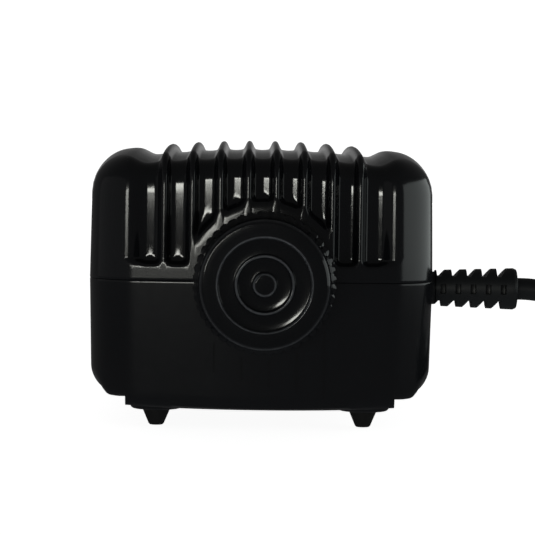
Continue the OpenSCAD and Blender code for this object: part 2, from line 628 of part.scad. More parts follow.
cord_tie();
plug_body();
plug_pins();
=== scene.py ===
"""Looks of the aquarium air pump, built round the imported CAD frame. Metres; +X cord side, -Y front, +Z up."""
import json
import math

import bmesh
import bpy
import numpy as np
from mathutils import Matrix, Vector


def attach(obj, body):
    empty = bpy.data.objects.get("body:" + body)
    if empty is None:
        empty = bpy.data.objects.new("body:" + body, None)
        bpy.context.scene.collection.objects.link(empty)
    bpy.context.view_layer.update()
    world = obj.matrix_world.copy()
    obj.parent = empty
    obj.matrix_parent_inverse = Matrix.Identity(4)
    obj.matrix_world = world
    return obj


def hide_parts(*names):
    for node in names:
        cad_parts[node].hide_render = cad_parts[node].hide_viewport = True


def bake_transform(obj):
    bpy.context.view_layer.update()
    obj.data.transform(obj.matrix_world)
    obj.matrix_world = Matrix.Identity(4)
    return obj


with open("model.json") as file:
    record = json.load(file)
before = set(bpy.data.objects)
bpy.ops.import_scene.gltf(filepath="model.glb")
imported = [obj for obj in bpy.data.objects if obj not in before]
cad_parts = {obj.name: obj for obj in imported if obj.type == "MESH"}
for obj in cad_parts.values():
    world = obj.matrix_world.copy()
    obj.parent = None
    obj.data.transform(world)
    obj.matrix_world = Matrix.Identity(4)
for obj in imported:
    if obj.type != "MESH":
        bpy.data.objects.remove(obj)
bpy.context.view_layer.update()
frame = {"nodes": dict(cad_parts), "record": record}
nodes = frame["nodes"]
MM = 0.001

# ---------------------------------------------------------------- dimensions, millimetres, as in part.scad
HW, HL, TOP, PZ = 47.5, 70.0, 76.7, 38.8
WALL, GD, PITCH, RIBW, PADR = 2.4, 2.6, 7.33, 1.9, 20.3
KX, KNOB_R, FACE_R = 0.8, 18.6, 16.0
FOOT_X, FOOT_Y, FOOT_H = 27.5, 58.5, 4.4
CROWN, ARCH, SHOULDER, BROW, DRAFT = 274.0, 630.0, 8.5, 7.0, 0.6
SIDE_BOTTOM, BAND_BOTTOM, BAND_W = 8.0, 5.2, 35.4
CORNER, FRONT_BOW, SIDE_BOW = 12.0, 300.0, 900.0
CORD_Y, CORD_Z, CORD_D, RELIEF = -40.0, 36.4, 6.0, 22.5
OUT_X, OUT_Z = 20.0, 48.0
SCREWS = [(-33.1, -47.0), (33.1, -47.0), (-8.0, 64.3), (8.0, 64.3)]


# ---------------------------------------------------------------- materials
def new_mat(name):
    m = bpy.data.materials.new(name)
    m.use_nodes = True
    nt = m.node_tree
    nt.nodes.clear()
    out = nt.nodes.new("ShaderNodeOutputMaterial")
    b = nt.nodes.new("ShaderNodeBsdfPrincipled")
    nt.links.new(b.outputs[0], out.inputs[0])
    return m, nt, b


def noise(nt, scale, detail=4.0, rough=0.55, stretch=None, coord="Object"):
    tc = nt.nodes.new("ShaderNodeTexCoord")
    src = tc.outputs[coord]
    if stretch:
        mp = nt.nodes.new("ShaderNodeMapping")
        mp.inputs["Scale"].default_value = stretch
        nt.links.new(src, mp.inputs["Vector"])
        src = mp.outputs[0]
    n = nt.nodes.new("ShaderNodeTexNoise")
    n.inputs["Scale"].default_value = scale
    n.inputs["Detail"].default_value = detail
    n.inputs["Roughness"].default_value = rough
    nt.links.new(src, n.inputs["Vector"])
    return n.outputs["Fac"]


def ramp(nt, fac, stops):
    r = nt.nodes.new("ShaderNodeValToRGB")
    e = r.color_ramp.elements
    while len(e) < len(stops):
        e.new(0.5)
    for el, (p, c) in zip(e, stops):
        el.position = p
        el.color = c if len(c) == 4 else (*c, 1)
    nt.links.new(fac, r.inputs["Fac"])
    return r.outputs["Color"]


def span(nt, fac, lo, hi):
    m = nt.nodes.new("ShaderNodeMapRange")
    m.inputs["To Min"].default_value = lo
    m.inputs["To Max"].default_value = hi
    nt.links.new(fac, m.inputs["Value"])
    return m.outputs[0]


def bump(nt, heights, b):
    last = None
    for h, dist, strength in heights:
        n = nt.nodes.new("ShaderNodeBump")
        n.inputs["Distance"].default_value = dist
        n.inputs["Strength"].default_value = strength
        nt.links.new(h, n.inputs["Height"])
        if last is not None:
            nt.links.new(last, n.inputs["Normal"])
        last = n.outputs[0]
    nt.links.new(last, b.inputs["Normal"])


def shade(c, k):
    return tuple(max(0.0, min(1.0, x * k)) for x in c[:3])


def plastic(name, col, rough, var=0.15, grain=2600.0, grain_d=0.000006, spec=0.5, wave=0.0, ior=1.5, coat=0.0, sub=0.0):
    """Moulded plastic or rubber: fine grain, slow colour and gloss variation, slight waviness."""
    m, nt, b = new_mat(name)
    slow = noise(nt, 60.0, 5.0)
    nt.links.new(ramp(nt, slow, [(0.25, shade(col, 1 - var)), (0.75, shade(col, 1 + var))]), b.inputs["Base Color"])
    mid = noise(nt, 420.0, 6.0, 0.65)
    nt.links.new(span(nt, mid, rough * 0.86, rough * 1.16), b.inputs["Roughness"])
    b.inputs["IOR"].default_value = ior
    b.inputs["Specular IOR Level"].default_value = spec
    b.inputs["Coat Weight"].default_value = coat
    b.inputs["Coat Roughness"].default_value = 0.08
    if sub:
        b.inputs["Subsurface Weight"].default_value = sub
        b.inputs["Subsurface Scale"].default_value = 0.002
    hs = [(noise(nt, grain, 3.0), grain_d, 0.6)]
    if wave:
        hs.append((noise(nt, 45.0, 2.0), wave, 0.5))
    bump(nt, hs, b)
    return m


def metal(name, col, rough, brush=None, scratch=900.0):
    m, nt, b = new_mat(name)
    b.inputs["Metallic"].default_value = 1.0
    n = noise(nt, scratch, 5.0, 0.6, stretch=brush)
    nt.links.new(ramp(nt, noise(nt, 150.0), [(0.3, shade(col, 0.86)), (0.7, shade(col, 1.08))]), b.inputs["Base Color"])
    nt.links.new(span(nt, n, rough * 0.7, rough * 1.4), b.inputs["Roughness"])
    bump(nt, [(n, 0.00001, 0.4)], b)
    return m


def case_mat():
    """Black ABS: fine spark texture outside, polished in the grooves (the mesh attribute "polish")."""
    m, nt, b = new_mat("case_plastic")
    nt.links.new(ramp(nt, noise(nt, 60.0, 5.0), [(0.25, (0.0027, 0.003, 0.0037)), (0.75, (0.0036, 0.004, 0.0048))]), b.inputs["Base Color"])
    at = nt.nodes.new("ShaderNodeAttribute")
    at.attribute_name = "polish"
    mx = nt.nodes.new("ShaderNodeMix")
    mx.data_type = "FLOAT"
    nt.links.new(at.outputs["Fac"], mx.inputs[0])
    nt.links.new(span(nt, noise(nt, 420.0, 6.0, 0.65), 0.135, 0.165), mx.inputs[2])
    nt.links.new(span(nt, noise(nt, 300.0, 4.0), 0.055, 0.09), mx.inputs[3])
    nt.links.new(mx.outputs[0], b.inputs["Roughness"])
    b.inputs["IOR"].default_value = 1.5
    bump(nt, [(noise(nt, 3200.0, 3.0), 0.000006, 0.5), (noise(nt, 40.0, 2.0), 0.00003, 0.5)], b)
    return m


M = {}
M["case_plastic"] = case_mat()


def knob_mat():
    """Glossy black knob; the crests of the face rings (a mesh attribute) carry a painted highlight: a lighter base
    colour where light would catch them.
    """
    m, nt, b = new_mat("knob_plastic")
    dark = ramp(nt, noise(nt, 80.0, 4.0), [(0.3, (0.0019, 0.0022, 0.0028)), (0.7, (0.0026, 0.003, 0.0036))])
    # painted highlight: the lighter colour mixed onto the ring crests of the knob face
    ring_highlight_col = ramp(nt, noise(nt, 900.0, 5.0), [(0.3, (0.028, 0.03, 0.033)), (0.7, (0.06, 0.064, 0.068))])
    at = nt.nodes.new("ShaderNodeAttribute")
    at.attribute_name = "edge"
    mx = nt.nodes.new("ShaderNodeMix")
    mx.data_type = "RGBA"
    nt.links.new(at.outputs["Fac"], mx.inputs[0])
    nt.links.new(dark, mx.inputs[6])
    nt.links.new(ring_highlight_col, mx.inputs[7])
    nt.links.new(mx.outputs[2], b.inputs["Base Color"])
    nt.links.new(span(nt, noise(nt, 260.0, 5.0), 0.07, 0.11), b.inputs["Roughness"])
    b.inputs["IOR"].default_value = 1.5
    bump(nt, [(noise(nt, 3600.0, 3.0), 0.0000015, 0.5)], b)
    return m


M["knob_plastic"] = knob_mat()
M["foot_rubber"] = plastic("foot_rubber", (0.0025, 0.0025, 0.0026), 0.62, 0.2, 2200.0, 0.000012, 0.35)
M["steel_screw"] = metal("steel_screw", (0.56, 0.56, 0.58), 0.32)
M["steel_plate"] = metal("steel_plate", (0.6, 0.61, 0.63), 0.3, brush=(1, 14, 1))
M["pot_case"] = plastic("pot_case", (0.07, 0.17, 0.3), 0.35, 0.1)
M["triac"] = plastic("triac", (0.022, 0.022, 0.024), 0.5, 0.12, 3000.0, 0.00001)
M["capacitor"] = plastic("capacitor", (0.55, 0.33, 0.03), 0.22, 0.08, 900.0, 0.00001, 0.5, 0.00005)
M["bobbin_nylon"] = plastic("bobbin_nylon", (0.78, 0.74, 0.62), 0.42, 0.04, 1800.0, 0.000006, 0.4, sub=0.1)
M["lead_red"] = plastic("lead_red", (0.5, 0.03, 0.02), 0.38, 0.08)
M["lead_blue"] = plastic("lead_blue", (0.04, 0.13, 0.42), 0.38, 0.08)
M["ferrite"] = plastic("ferrite", (0.03, 0.03, 0.033), 0.55, 0.25, 1500.0, 0.00002)
M["black_rubber"] = plastic("black_rubber", (0.014, 0.014, 0.014), 0.58, 0.2, 1800.0, 0.00001, 0.35)
M["chamber_plastic"] = plastic("chamber_plastic", (0.68, 0.68, 0.65), 0.4, 0.03, 2400.0, 0.000006, 0.45, sub=0.05)
M["gasket"] = plastic("gasket", (0.2, 0.03, 0.02), 0.66, 0.14, 1600.0, 0.00001, 0.3)
M["outlet_plastic"] = plastic("outlet_plastic", (0.012, 0.012, 0.013), 0.26, 0.1, 3000.0, 0.000004)
M["cord_pvc"] = plastic("cord_pvc", (0.004, 0.0048, 0.0054), 0.42, 0.12, 2400.0, 0.000008, 0.45, 0.00003)
M["tie"] = plastic("tie", (0.012, 0.012, 0.012), 0.36, 0.1)
M["pin_nickel"] = metal("pin_nickel", (0.72, 0.7, 0.66), 0.16)


def felt_mat():
    m, nt, b = new_mat("felt")
    f = noise(nt, 2600.0, 6.0, 0.75, stretch=(1, 2.2, 1))
    g = noise(nt, 240.0, 4.0)
    nt.links.new(ramp(nt, f, [(0.2, (0.5, 0.5, 0.46)), (0.8, (0.84, 0.84, 0.79))]), b.inputs["Base Color"])
    b.inputs["Roughness"].default_value = 0.95
    b.inputs["Sheen Weight"].default_value = 0.5
    b.inputs["Sheen Roughness"].default_value = 0.6
    bump(nt, [(f, 0.00015, 0.9), (g, 0.0002, 0.5)], b)
    return m


def board_mat():
    m, nt, b = new_mat("board")
    weave = nt.nodes.new("ShaderNodeTexWave")
    weave.inputs["Scale"].default_value = 420.0
    weave.inputs["Distortion"].default_value = 1.2
    tc = nt.nodes.new("ShaderNodeTexCoord")
    nt.links.new(tc.outputs["Object"], weave.inputs["Vector"])
    n = noise(nt, 90.0, 5.0)
    nt.links.new(ramp(nt, n, [(0.3, (0.03, 0.15, 0.05)), (0.7, (0.05, 0.22, 0.08))]), b.inputs["Base Color"])
    nt.links.new(span(nt, weave.outputs["Fac"], 0.3, 0.42), b.inputs["Roughness"])
    b.inputs["Coat Weight"].default_value = 0.3
    bump(nt, [(weave.outputs["Fac"], 0.00001, 0.4)], b)
    return m


def layered_mat(name, a, c, scale, direction, metallic, rough, dist):
    """Laminations or wound wire: fine bands across one direction."""
    m, nt, b = new_mat(name)
    w = nt.nodes.new("ShaderNodeTexWave")
    w.wave_type = "BANDS"
    w.bands_direction = direction
    w.inputs["Scale"].default_value = scale
    w.inputs["Distortion"].default_value = 0.3
    w.inputs["Detail"].default_value = 2.0
    tc = nt.nodes.new("ShaderNodeTexCoord")
    nt.links.new(tc.outputs["Object"], w.inputs["Vector"])
    nt.links.new(ramp(nt, w.outputs["Fac"], [(0.1, a), (0.6, c)]), b.inputs["Base Color"])
    b.inputs["Metallic"].default_value = metallic
    nt.links.new(span(nt, noise(nt, 500.0), rough * 0.8, rough * 1.25), b.inputs["Roughness"])
    bump(nt, [(w.outputs["Fac"], dist, 0.8)], b)
    return m


def hose_mat():
    m, nt, b = new_mat("hose")
    nt.links.new(ramp(nt, noise(nt, 70.0), [(0.3, (0.66, 0.72, 0.72)), (0.7, (0.76, 0.81, 0.81))]), b.inputs["Base Color"])
    nt.links.new(span(nt, noise(nt, 600.0), 0.22, 0.32), b.inputs["Roughness"])
    b.inputs["IOR"].default_value = 1.41
    b.inputs["Transmission Weight"].default_value = 0.35
    b.inputs["Subsurface Weight"].default_value = 0.25
    b.inputs["Subsurface Scale"].default_value = 0.003
    bump(nt, [(noise(nt, 1200.0), 0.000008, 0.4)], b)
    return m


M["felt"] = felt_mat()
M["board"] = board_mat()
M["core_steel"] = layered_mat("core_steel", (0.1, 0.1, 0.11), (0.4, 0.4, 0.42), 320.0, "Z", 0.9, 0.42, 0.00005)
M["copper"] = layered_mat("copper", (0.22, 0.06, 0.02), (0.75, 0.3, 0.11), 360.0, "Y", 0.85, 0.28, 0.00008)
M["hose"] = hose_mat()

slot_of = {s["node"]: s["material_slot"] for s in frame["record"]["subparts"]}


def give(obj, slot):
    obj.data.materials.clear()
    obj.data.materials.append(M[slot])
    if obj.type == "MESH":
        for p in obj.data.polygons:
            p.material_index = 0
    return obj


# ---------------------------------------------------------------- mesh helpers
def mesh_obj(name, verts, faces, smooth=True):
    me = bpy.data.meshes.new(name)
    me.from_pydata((np.asarray(verts, float) * MM).tolist(), [], [tuple(int(i) for i in f) for f in faces])
    me.validate()
    me.update()
    ob = bpy.data.objects.new(name, me)
    bpy.context.scene.collection.objects.link(ob)
    if smooth:
        me.polygons.foreach_set("use_smooth", [True] * len(me.polygons))
    return ob


def outward(ob):
    bm = bmesh.new()
    bm.from_mesh(ob.data)
    bmesh.ops.recalc_face_normals(bm, faces=bm.faces)
    bm.to_mesh(ob.data)
    bm.free()
    return ob


def sharp(ob, deg=35.0):
    """Keeps creases of more than deg degrees hard, with the rest smooth."""
    me = ob.data
    me.polygons.foreach_set("use_smooth", [True] * len(me.polygons))
    bm = bmesh.new()
    bm.from_mesh(me)
    lim = math.radians(deg)
    for e in bm.edges:
        e.smooth = not (len(e.link_faces) == 2 and e.calc_face_angle(0.0) > lim)
    bm.to_mesh(me)
    bm.free()
    return ob


def frame_of(origin, axis, up=None):
    z = Vector(axis).normalized()
    x = Vector(up) if up else (Vector((0, 0, 1)) if abs(z.z) < 0.9 else Vector((1, 0, 0)))
    x = (x - x.dot(z) * z).normalized()
    y = z.cross(x)
    m = Matrix((x, y, z)).transposed().to_4x4()
    m.translation = Vector(origin)
    return m


def lathe(name, prof, origin, axis, seg=64, radius_fn=None, smooth=True, closed=False):
    """prof: list of (r, h) along the axis; ends on the axis are closed to one point. radius_fn(r, h, angle) changes the radius."""
    m = np.array(frame_of(origin, axis))
    verts, faces, rings = [], [], []
    for r, h in prof:
        if r < 1e-6:
            rings.append([len(verts)])
            verts.append((0, 0, h))
            continue
        ring = []
        for k in range(seg):
            a = 2 * math.pi * k / seg
            rr = radius_fn(r, h, a) if radius_fn else r
            ring.append(len(verts))
            verts.append((rr * math.cos(a), rr * math.sin(a), h))
        rings.append(ring)
    pairs = list(zip(rings[:-1], rings[1:])) + ([(rings[-1], rings[0])] if closed else [])
    for a, b in pairs:
        if len(a) == 1 and len(b) == 1:
            continue
        for k in range(seg):
            n = (k + 1) % seg
            if len(a) == 1:
                faces.append((a[0], b[k], b[n]))
            elif len(b) == 1:
                faces.append((a[k], b[0], a[n]))
            else:
                faces.append((a[k], b[k], b[n], a[n]))
    v = np.array(verts) @ m[:3, :3].T + m[:3, 3]
    return outward(mesh_obj(name, v, faces, smooth))


def fillet(pts, radii, n=5):
    """Rounds the corners of an open profile; radii is one number or a list, one a point."""
    if not hasattr(radii, "__len__"):
        radii = [radii] * len(pts)
    out = [pts[0]]
    for i in range(1, len(pts) - 1):
        p = Vector(pts[i])
        a, b = Vector(pts[i - 1]) - p, Vector(pts[i + 1]) - p
        r = radii[i]
        if r <= 0 or a.length < 1e-9 or b.length < 1e-9:
            out.append(tuple(p))
            continue
        ua, ub = a.normalized(), b.normalized()
        ang = math.acos(max(-1, min(1, ua.dot(ub))))
        if ang > math.pi - 0.05:
            out.append(tuple(p))
            continue
        d = min(r / math.tan(ang / 2), a.length * 0.48, b.length * 0.48)
        r = d * math.tan(ang / 2)
        c = p + (ua + ub).normalized() * (r / math.sin(ang / 2))
        s, e = p + ua * d - c, p + ub * d - c
        turn = math.atan2(s.x * e.y - s.y * e.x, s.dot(e))
        for k in range(n + 1):
            t = turn * k / n
            out.append((c.x + s.x * math.cos(t) - s.y * math.sin(t), c.y + s.x * math.sin(t) + s.y * math.cos(t)))
    out.append(pts[-1])
    return out


def box_mesh(name, lo, hi, bev=0.3, seg=2):
    bm = bmesh.new()
    bmesh.ops.create_cube(bm, size=1.0)
    for v in bm.verts:
        v.co = Vector([(lo[i] + hi[i]) / 2 + v.co[i] * (hi[i] - lo[i]) for i in range(3)])
    if bev:
        bmesh.ops.bevel(bm, geom=list(bm.edges), offset=bev, segments=seg, profile=0.5, affect="EDGES", clamp_overlap=True)
    bmesh.ops.scale(bm, vec=(MM, MM, MM), verts=bm.verts)
    me = bpy.data.meshes.new(name)
    bm.to_mesh(me)
    bm.free()
    ob = bpy.data.objects.new(name, me)
    bpy.context.scene.collection.objects.link(ob)
    return ob


def join(name, obs):
    verts, faces, smooth, n = [], [], [], 0
    for o in obs:
        verts += [tuple(o.matrix_world @ v.co) for v in o.data.vertices]
        for p in o.data.polygons:
            faces.append(tuple(i + n for i in p.vertices))
            smooth.append(p.use_smooth)
        n = len(verts)
        bpy.data.objects.remove(o)
    me = bpy.data.meshes.new(name)
    me.from_pydata(verts, [], faces)
    me.polygons.foreach_set("use_smooth", smooth)
    me.update()
    ob = bpy.data.objects.new(name, me)
    bpy.context.scene.collection.objects.link(ob)
    return ob


def boolean(ob, cutter, op="DIFFERENCE"):
    md = ob.modifiers.new("b", "BOOLEAN")
    md.operation = op
    md.object = cutter
    try:
        md.solver = "MANIFOLD"
    except TypeError:
        md.solver = "EXACT"
    dg = bpy.context.evaluated_depsgraph_get()
    me = bpy.data.meshes.new_from_object(ob.evaluated_get(dg))
    if len(me.polygons) < 10:
        md.solver = "EXACT"
        dg = bpy.context.evaluated_depsgraph_get()
        me = bpy.data.meshes.new_from_object(ob.evaluated_get(dg))
    ob.modifiers.clear()
    old = ob.data
    ob.data = me
    bpy.data.meshes.remove(old)
    bpy.data.objects.remove(cutter)
    return ob


# ---------------------------------------------------------------- case surfaces
def polish(ob, v):
    """How far the moulded surface is polished rather than sparked, for the case material."""
    a = ob.data.attributes.get("polish") or ob.data.attributes.new("polish", "FLOAT", "POINT")
    a.data.foreach_set("value", np.asarray(v, np.float32))


def rmax(a, b, r):
    u, v = np.maximum(a + r, 0), np.maximum(b + r, 0)
    return np.minimum(np.maximum(a, b), -r) + np.hypot(u, v)


P_D = np.array([-1.2, -0.95, -0.7, -0.45, -0.25, -0.05, 0.15, 0.35, 0.55, 0.75, 0.95, 1.3, 1.9, 2.35, 2.72, 6.0])
P_V = np.array([0.0, 0.0, 0.05, 0.19, 0.42, 0.8, 1.24, 1.68, 2.06, 2.31, 2.42, 2.49, 2.563, 2.592, 2.6, 2.6])


def pchip(x, xs, ys):
    h = np.diff(xs)
    d = np.diff(ys) / h
    m = np.zeros(len(xs))
    for i in range(1, len(xs) - 1):
        if d[i - 1] * d[i] > 0:
            w1, w2 = 2 * h[i] + h[i - 1], h[i] + 2 * h[i - 1]
            m[i] = (w1 + w2) / (w1 / d[i - 1] + w2 / d[i])
    x = np.clip(x, xs[0], xs[-1])
    i = np.clip(np.searchsorted(xs, x) - 1, 0, len(xs) - 2)
    t = (x - xs[i]) / h[i]
    return ((1 + 2 * t) * (1 - t) ** 2 * ys[i] + t * (1 - t) ** 2 * h[i] * m[i] + t * t * (3 - 2 * t) * ys[i + 1] + t * t * (t - 1) * h[i] * m[i + 1])


PAD_END = 21.1
HALF_G = (PITCH - RIBW) / 2
OUT_A, OUT_B = 3.5 * PITCH + RIBW / 2, 34.7
U_R = 1.5
FLANK_U = np.array([-2.6, -1.9, -1.2, -0.5, 0.2, 1.0, 2.0, 3.0, 3.9, 4.6, 5.3, 6.2])
FLANK_V = np.array([0.0, 0.02, 0.09, 0.24, 0.5, 0.96, 1.58, 2.14, 2.45, 2.56, 2.593, 2.6])
_d = np.linspace(-0.95, 2.72, 900)
_v = pchip(_d, P_D, P_V)
_u = np.linspace(-2.6, 6.2, 400)
_s = np.interp(pchip(_u, FLANK_U, FLANK_V), _v, _d)


def flank(u):
    """Distance inside the outer groove from the land's edge, which falls away more slowly than a rib's side."""
    return np.where(u < -2.6, -0.95 + (u + 2.6) * 0.4, np.where(u > 6.2, 2.72 + u - 6.2, np.interp(u, _u, _s)))



def z_end(x, back):
    """Height at which the grooves end, before the rounding of their ends."""
    ax = np.abs(x)
    if back:
        return np.where(ax < 25.66, 58.0, 43.3)
    d2 = np.where(ax < 2.5 * PITCH, PAD_END ** 2 - (x - KX) ** 2, 0.0)
    return np.maximum(43.3, PZ + np.sqrt(np.maximum(d2, 0)))


def side_in(x):
    """Distance inside a groove from its nearer long side; the land's wide flank is stretched to match."""
    ax = np.abs(x)
    i = np.clip(np.round(x / PITCH), -3, 3)
    inner = HALF_G - np.abs(x - i * PITCH)
    outer = np.minimum(ax - OUT_A, flank(OUT_B - ax))
    return np.where(ax < 3.5 * PITCH, inner, outer)


def inside(x, z, back):
    """Distance inside the outline of the nearest groove, seen from the front."""
    s = side_in(x)
    e = z - np.where(back, z_end(x, True), 43.3)
    c = np.hypot(x - KX, z - PZ) - PAD_END
    e = np.where(back | (np.abs(x) > 2.5 * PITCH), e, -rmax(-e, -c, 1.0))
    return -rmax(-s, -e, U_R)


def groove(x, y, z):
    return pchip(inside(x, z, y > 0), P_D, P_V)


def top_z(x, y):
    return TOP - CROWN + np.sqrt(CROWN ** 2 - x * x) - (ARCH - np.sqrt(ARCH ** 2 - y * y))


def base(x, y, z, ins, upper):
    """Signed distance-like value of one case half's plain form, pulled in by ins = (side, end, top or bottom)."""
    ax, ay = np.abs(x), np.abs(y)
    t = np.clip((z - PZ) / 38.0, -1, 1)
    dr = np.where(t > 0, DRAFT * t, -0.85 * t)
    ds = ax - (HW - y * y / (2 * SIDE_BOW) - dr) + ins[0]
    df = ay - (HL - (FRONT_BOW - np.sqrt(FRONT_BOW ** 2 - x * x)) - dr * 0.8) + ins[1]
    rc = max(CORNER - max(ins[0], ins[1]), 2.0)
    u, v = np.maximum(ds + rc, 1e-6), np.maximum(df + rc, 1e-6)
    dp = rmax(ds, df, rc)
    w = u * u / (u * u + v * v)
    if upper:
        dz = z - top_z(x, y) + ins[2]
        r = np.maximum(BROW + (SHOULDER - BROW) * w - ins[2] * 0.6, 1.0)
        return rmax(dp, dz, r)
    zb = np.where(ax < BAND_W, BAND_BOTTOM - 0.25 + 0.00062 * x * x, SIDE_BOTTOM)
    dz = zb + ins[2] - z
    ws = np.clip((w - 0.35) / 0.6, 0, 1)
    ws = ws * ws * (3 - 2 * ws)
    r = np.maximum(1.6 + (7.5 - 1.6) * ws - ins[2] * 0.8, 0.6)
    return rmax(dp, dz, r)


def solve(o, n, f, far=60.0):
    """Where rays from o along n leave f < 0, by bisection."""
    lo, hi = np.zeros(len(o)), np.full(len(o), far)
    for _ in range(34):
        mid = (lo + hi) / 2
        p = o + n * mid[:, None]
        inside = f(p[:, 0], p[:, 1], p[:, 2]) < 0
        lo, hi = np.where(inside, mid, lo), np.where(inside, hi, mid)
    return o + n * ((lo + hi) / 2)[:, None]


def x_lines(upper):
    if upper:
        half = [0.45, 0.65, 0.85, 1.0, 1.15, 1.35, 1.57, 1.8, 2.05, 2.4, 2.85, 3.25]
        off = [0.0] + half + [PITCH / 2] + [PITCH - h for h in half[::-1]]
        xs = [(i - 0.5) * PITCH + o for i in range(0, 4) for o in off if (i - 0.5) * PITCH + o >= -1e-9]
        e = 3.5 * PITCH
        xs += [e + o for o in [0.0] + half + [3.8, 4.4, 5.0, 5.5, 6.0, 6.5, 7.0, 7.5, 8.0, 8.5, 8.9, 9.2, 9.5, 9.9]]
        xs = sorted(set(round(x, 4) for x in xs))
        xs = [x for x in xs if x < 35.7] + [36.0]
    else:
        xs = sorted(set([0.0] + [round(k * 1.2, 3) for k in range(1, 30)] + [BAND_W - 0.6, BAND_W - 0.25, BAND_W - 0.02, BAND_W + 0.02, BAND_W + 0.2, 36.0]))
    xs = [x for x in xs if x > 1e-6]
    return [-x for x in xs[::-1]] + [0.0] + xs


def ring_columns(xs, ys, k=12):
    """Columns round the wall: centre, outward normal and the cap vertex each joins."""
    cols = []
    nx, ny = len(xs), len(ys)
    X1, Y1 = xs[-1], ys[-1]
    for i, x in enumerate(xs):
        cols.append((x, -Y1, 0, -1, (i, 0)))
    for j in range(1, k):
        a = math.radians(-90 + 90 * j / k)
        cols.append((X1, -Y1, math.cos(a), math.sin(a), (nx - 1, 0)))
    for j, y in enumerate(ys):
        cols.append((X1, y, 1, 0, (nx - 1, j)))
    for j in range(1, k):
        a = math.radians(90 * j / k)
        cols.append((X1, Y1, math.cos(a), math.sin(a), (nx - 1, ny - 1)))
    for i in range(nx - 1, -1, -1):
        cols.append((xs[i], Y1, 0, 1, (i, ny - 1)))
    for j in range(1, k):
        a = math.radians(90 + 90 * j / k)
        cols.append((-X1, Y1, math.cos(a), math.sin(a), (0, ny - 1)))
    for j in range(ny - 1, -1, -1):
        cols.append((-X1, ys[j], -1, 0, (0, j)))
    for j in range(1, k):
        a = math.radians(180 + 90 * j / k)
        cols.append((-X1, -Y1, math.cos(a), math.sin(a), (0, 0)))
    return cols


def shell(cols, xs, ys, wall_z, z1, fan, f, up, rim_in=None):
    """One skin: wall rows, a fan over the rounding, and the cap grid. Returns vertices, faces, first row's indices."""
    C = np.array([[c[0], c[1], c[2], c[3]] for c in cols], float)
    nc = len(cols)
    verts, faces = [], []
    O, N = [], []
    rows = 0
    for zr in wall_z:
        O.append(np.column_stack([C[:, 0], C[:, 1], zr]))
        N.append(np.column_stack([C[:, 2], C[:, 3], np.zeros(nc)]))
        rows += 1
    for th in fan:
        c, s = math.cos(th), math.sin(th) * up
        O.append(np.column_stack([C[:, 0], C[:, 1], np.full(nc, z1)]))
        N.append(np.column_stack([C[:, 2] * c, C[:, 3] * c, np.full(nc, s)]))
        rows += 1
    gx, gy = np.meshgrid(np.array(xs), np.array(ys))
    cap = np.column_stack([gx.ravel(), gy.ravel(), np.full(gx.size, z1)])
    O.append(cap)
    N.append(np.tile([0, 0, float(up)], (gx.size, 1)))
    V = solve(np.vstack(O), np.vstack(N), f)
    if rim_in is not None:
        for r, d in rim_in.items():
            V[r * nc:(r + 1) * nc, 0] -= C[:, 2] * d
            V[r * nc:(r + 1) * nc, 1] -= C[:, 3] * d
    cap0 = rows * nc
    T = [cap0 + c[4][1] * len(xs) + c[4][0] for c in cols]
    for r in range(rows - 1):
        for k in range(nc):
            n = (k + 1) % nc
            faces.append((r * nc + k, r * nc + n, (r + 1) * nc + n, (r + 1) * nc + k))
    r = rows - 1
    for k in range(nc):
        n = (k + 1) % nc
        if T[k] == T[n]:
            faces.append((r * nc + k, r * nc + n, T[k]))
        else:
            faces.append((r * nc + k, r * nc + n, T[n], T[k]))
    for j in range(len(ys) - 1):
        for i in range(len(xs) - 1):
            a = cap0 + j * len(xs) + i
            faces.append((a, a + 1, a + 1 + len(xs), a + len(xs)))
    return V, faces, nc


def two_skins(name, outer, inner):
    """Joins an outer and an inner skin at the rim into one closed wall."""
    V, F, nc = outer
    W, G, _ = inner
    n = len(V)
    faces = list(F) + [tuple(i + n for i in g[::-1]) for g in G]
    for k in range(nc):
        m = (k + 1) % nc
        faces.append((k, n + k, n + m, m))
    return outward(mesh_obj(name, np.vstack([V, W]), faces))


FAN = [math.radians(a) for a in (5, 10, 15, 20, 25, 30, 36, 42, 48, 54, 60, 66, 72, 77, 82, 86)]
FAN_IN = [math.radians(a) for a in (12, 25, 38, 52, 65, 78)]
Y_UP = sorted(set([-58.0, -56.5, -55.0] + list(range(-53, 54, 4)) + [55.0, 56.5, 58.0]))


def u_end(x, back):
    """Foot of the groove outline at x, rounded ends included; the same above the ribs as at the groove's side."""
    b = np.full(len(x), back)
    want = np.minimum(0.0, side_in(x) - 0.05)
    lo, hi = np.full(len(x), PZ + 2.0), np.full(len(x), 63.2)
    for _ in range(30):
        mid = (lo + hi) / 2
        ok = inside(x, mid, b) >= want
        lo, hi = np.where(ok, lo, mid), np.where(ok, mid, hi)
    return hi


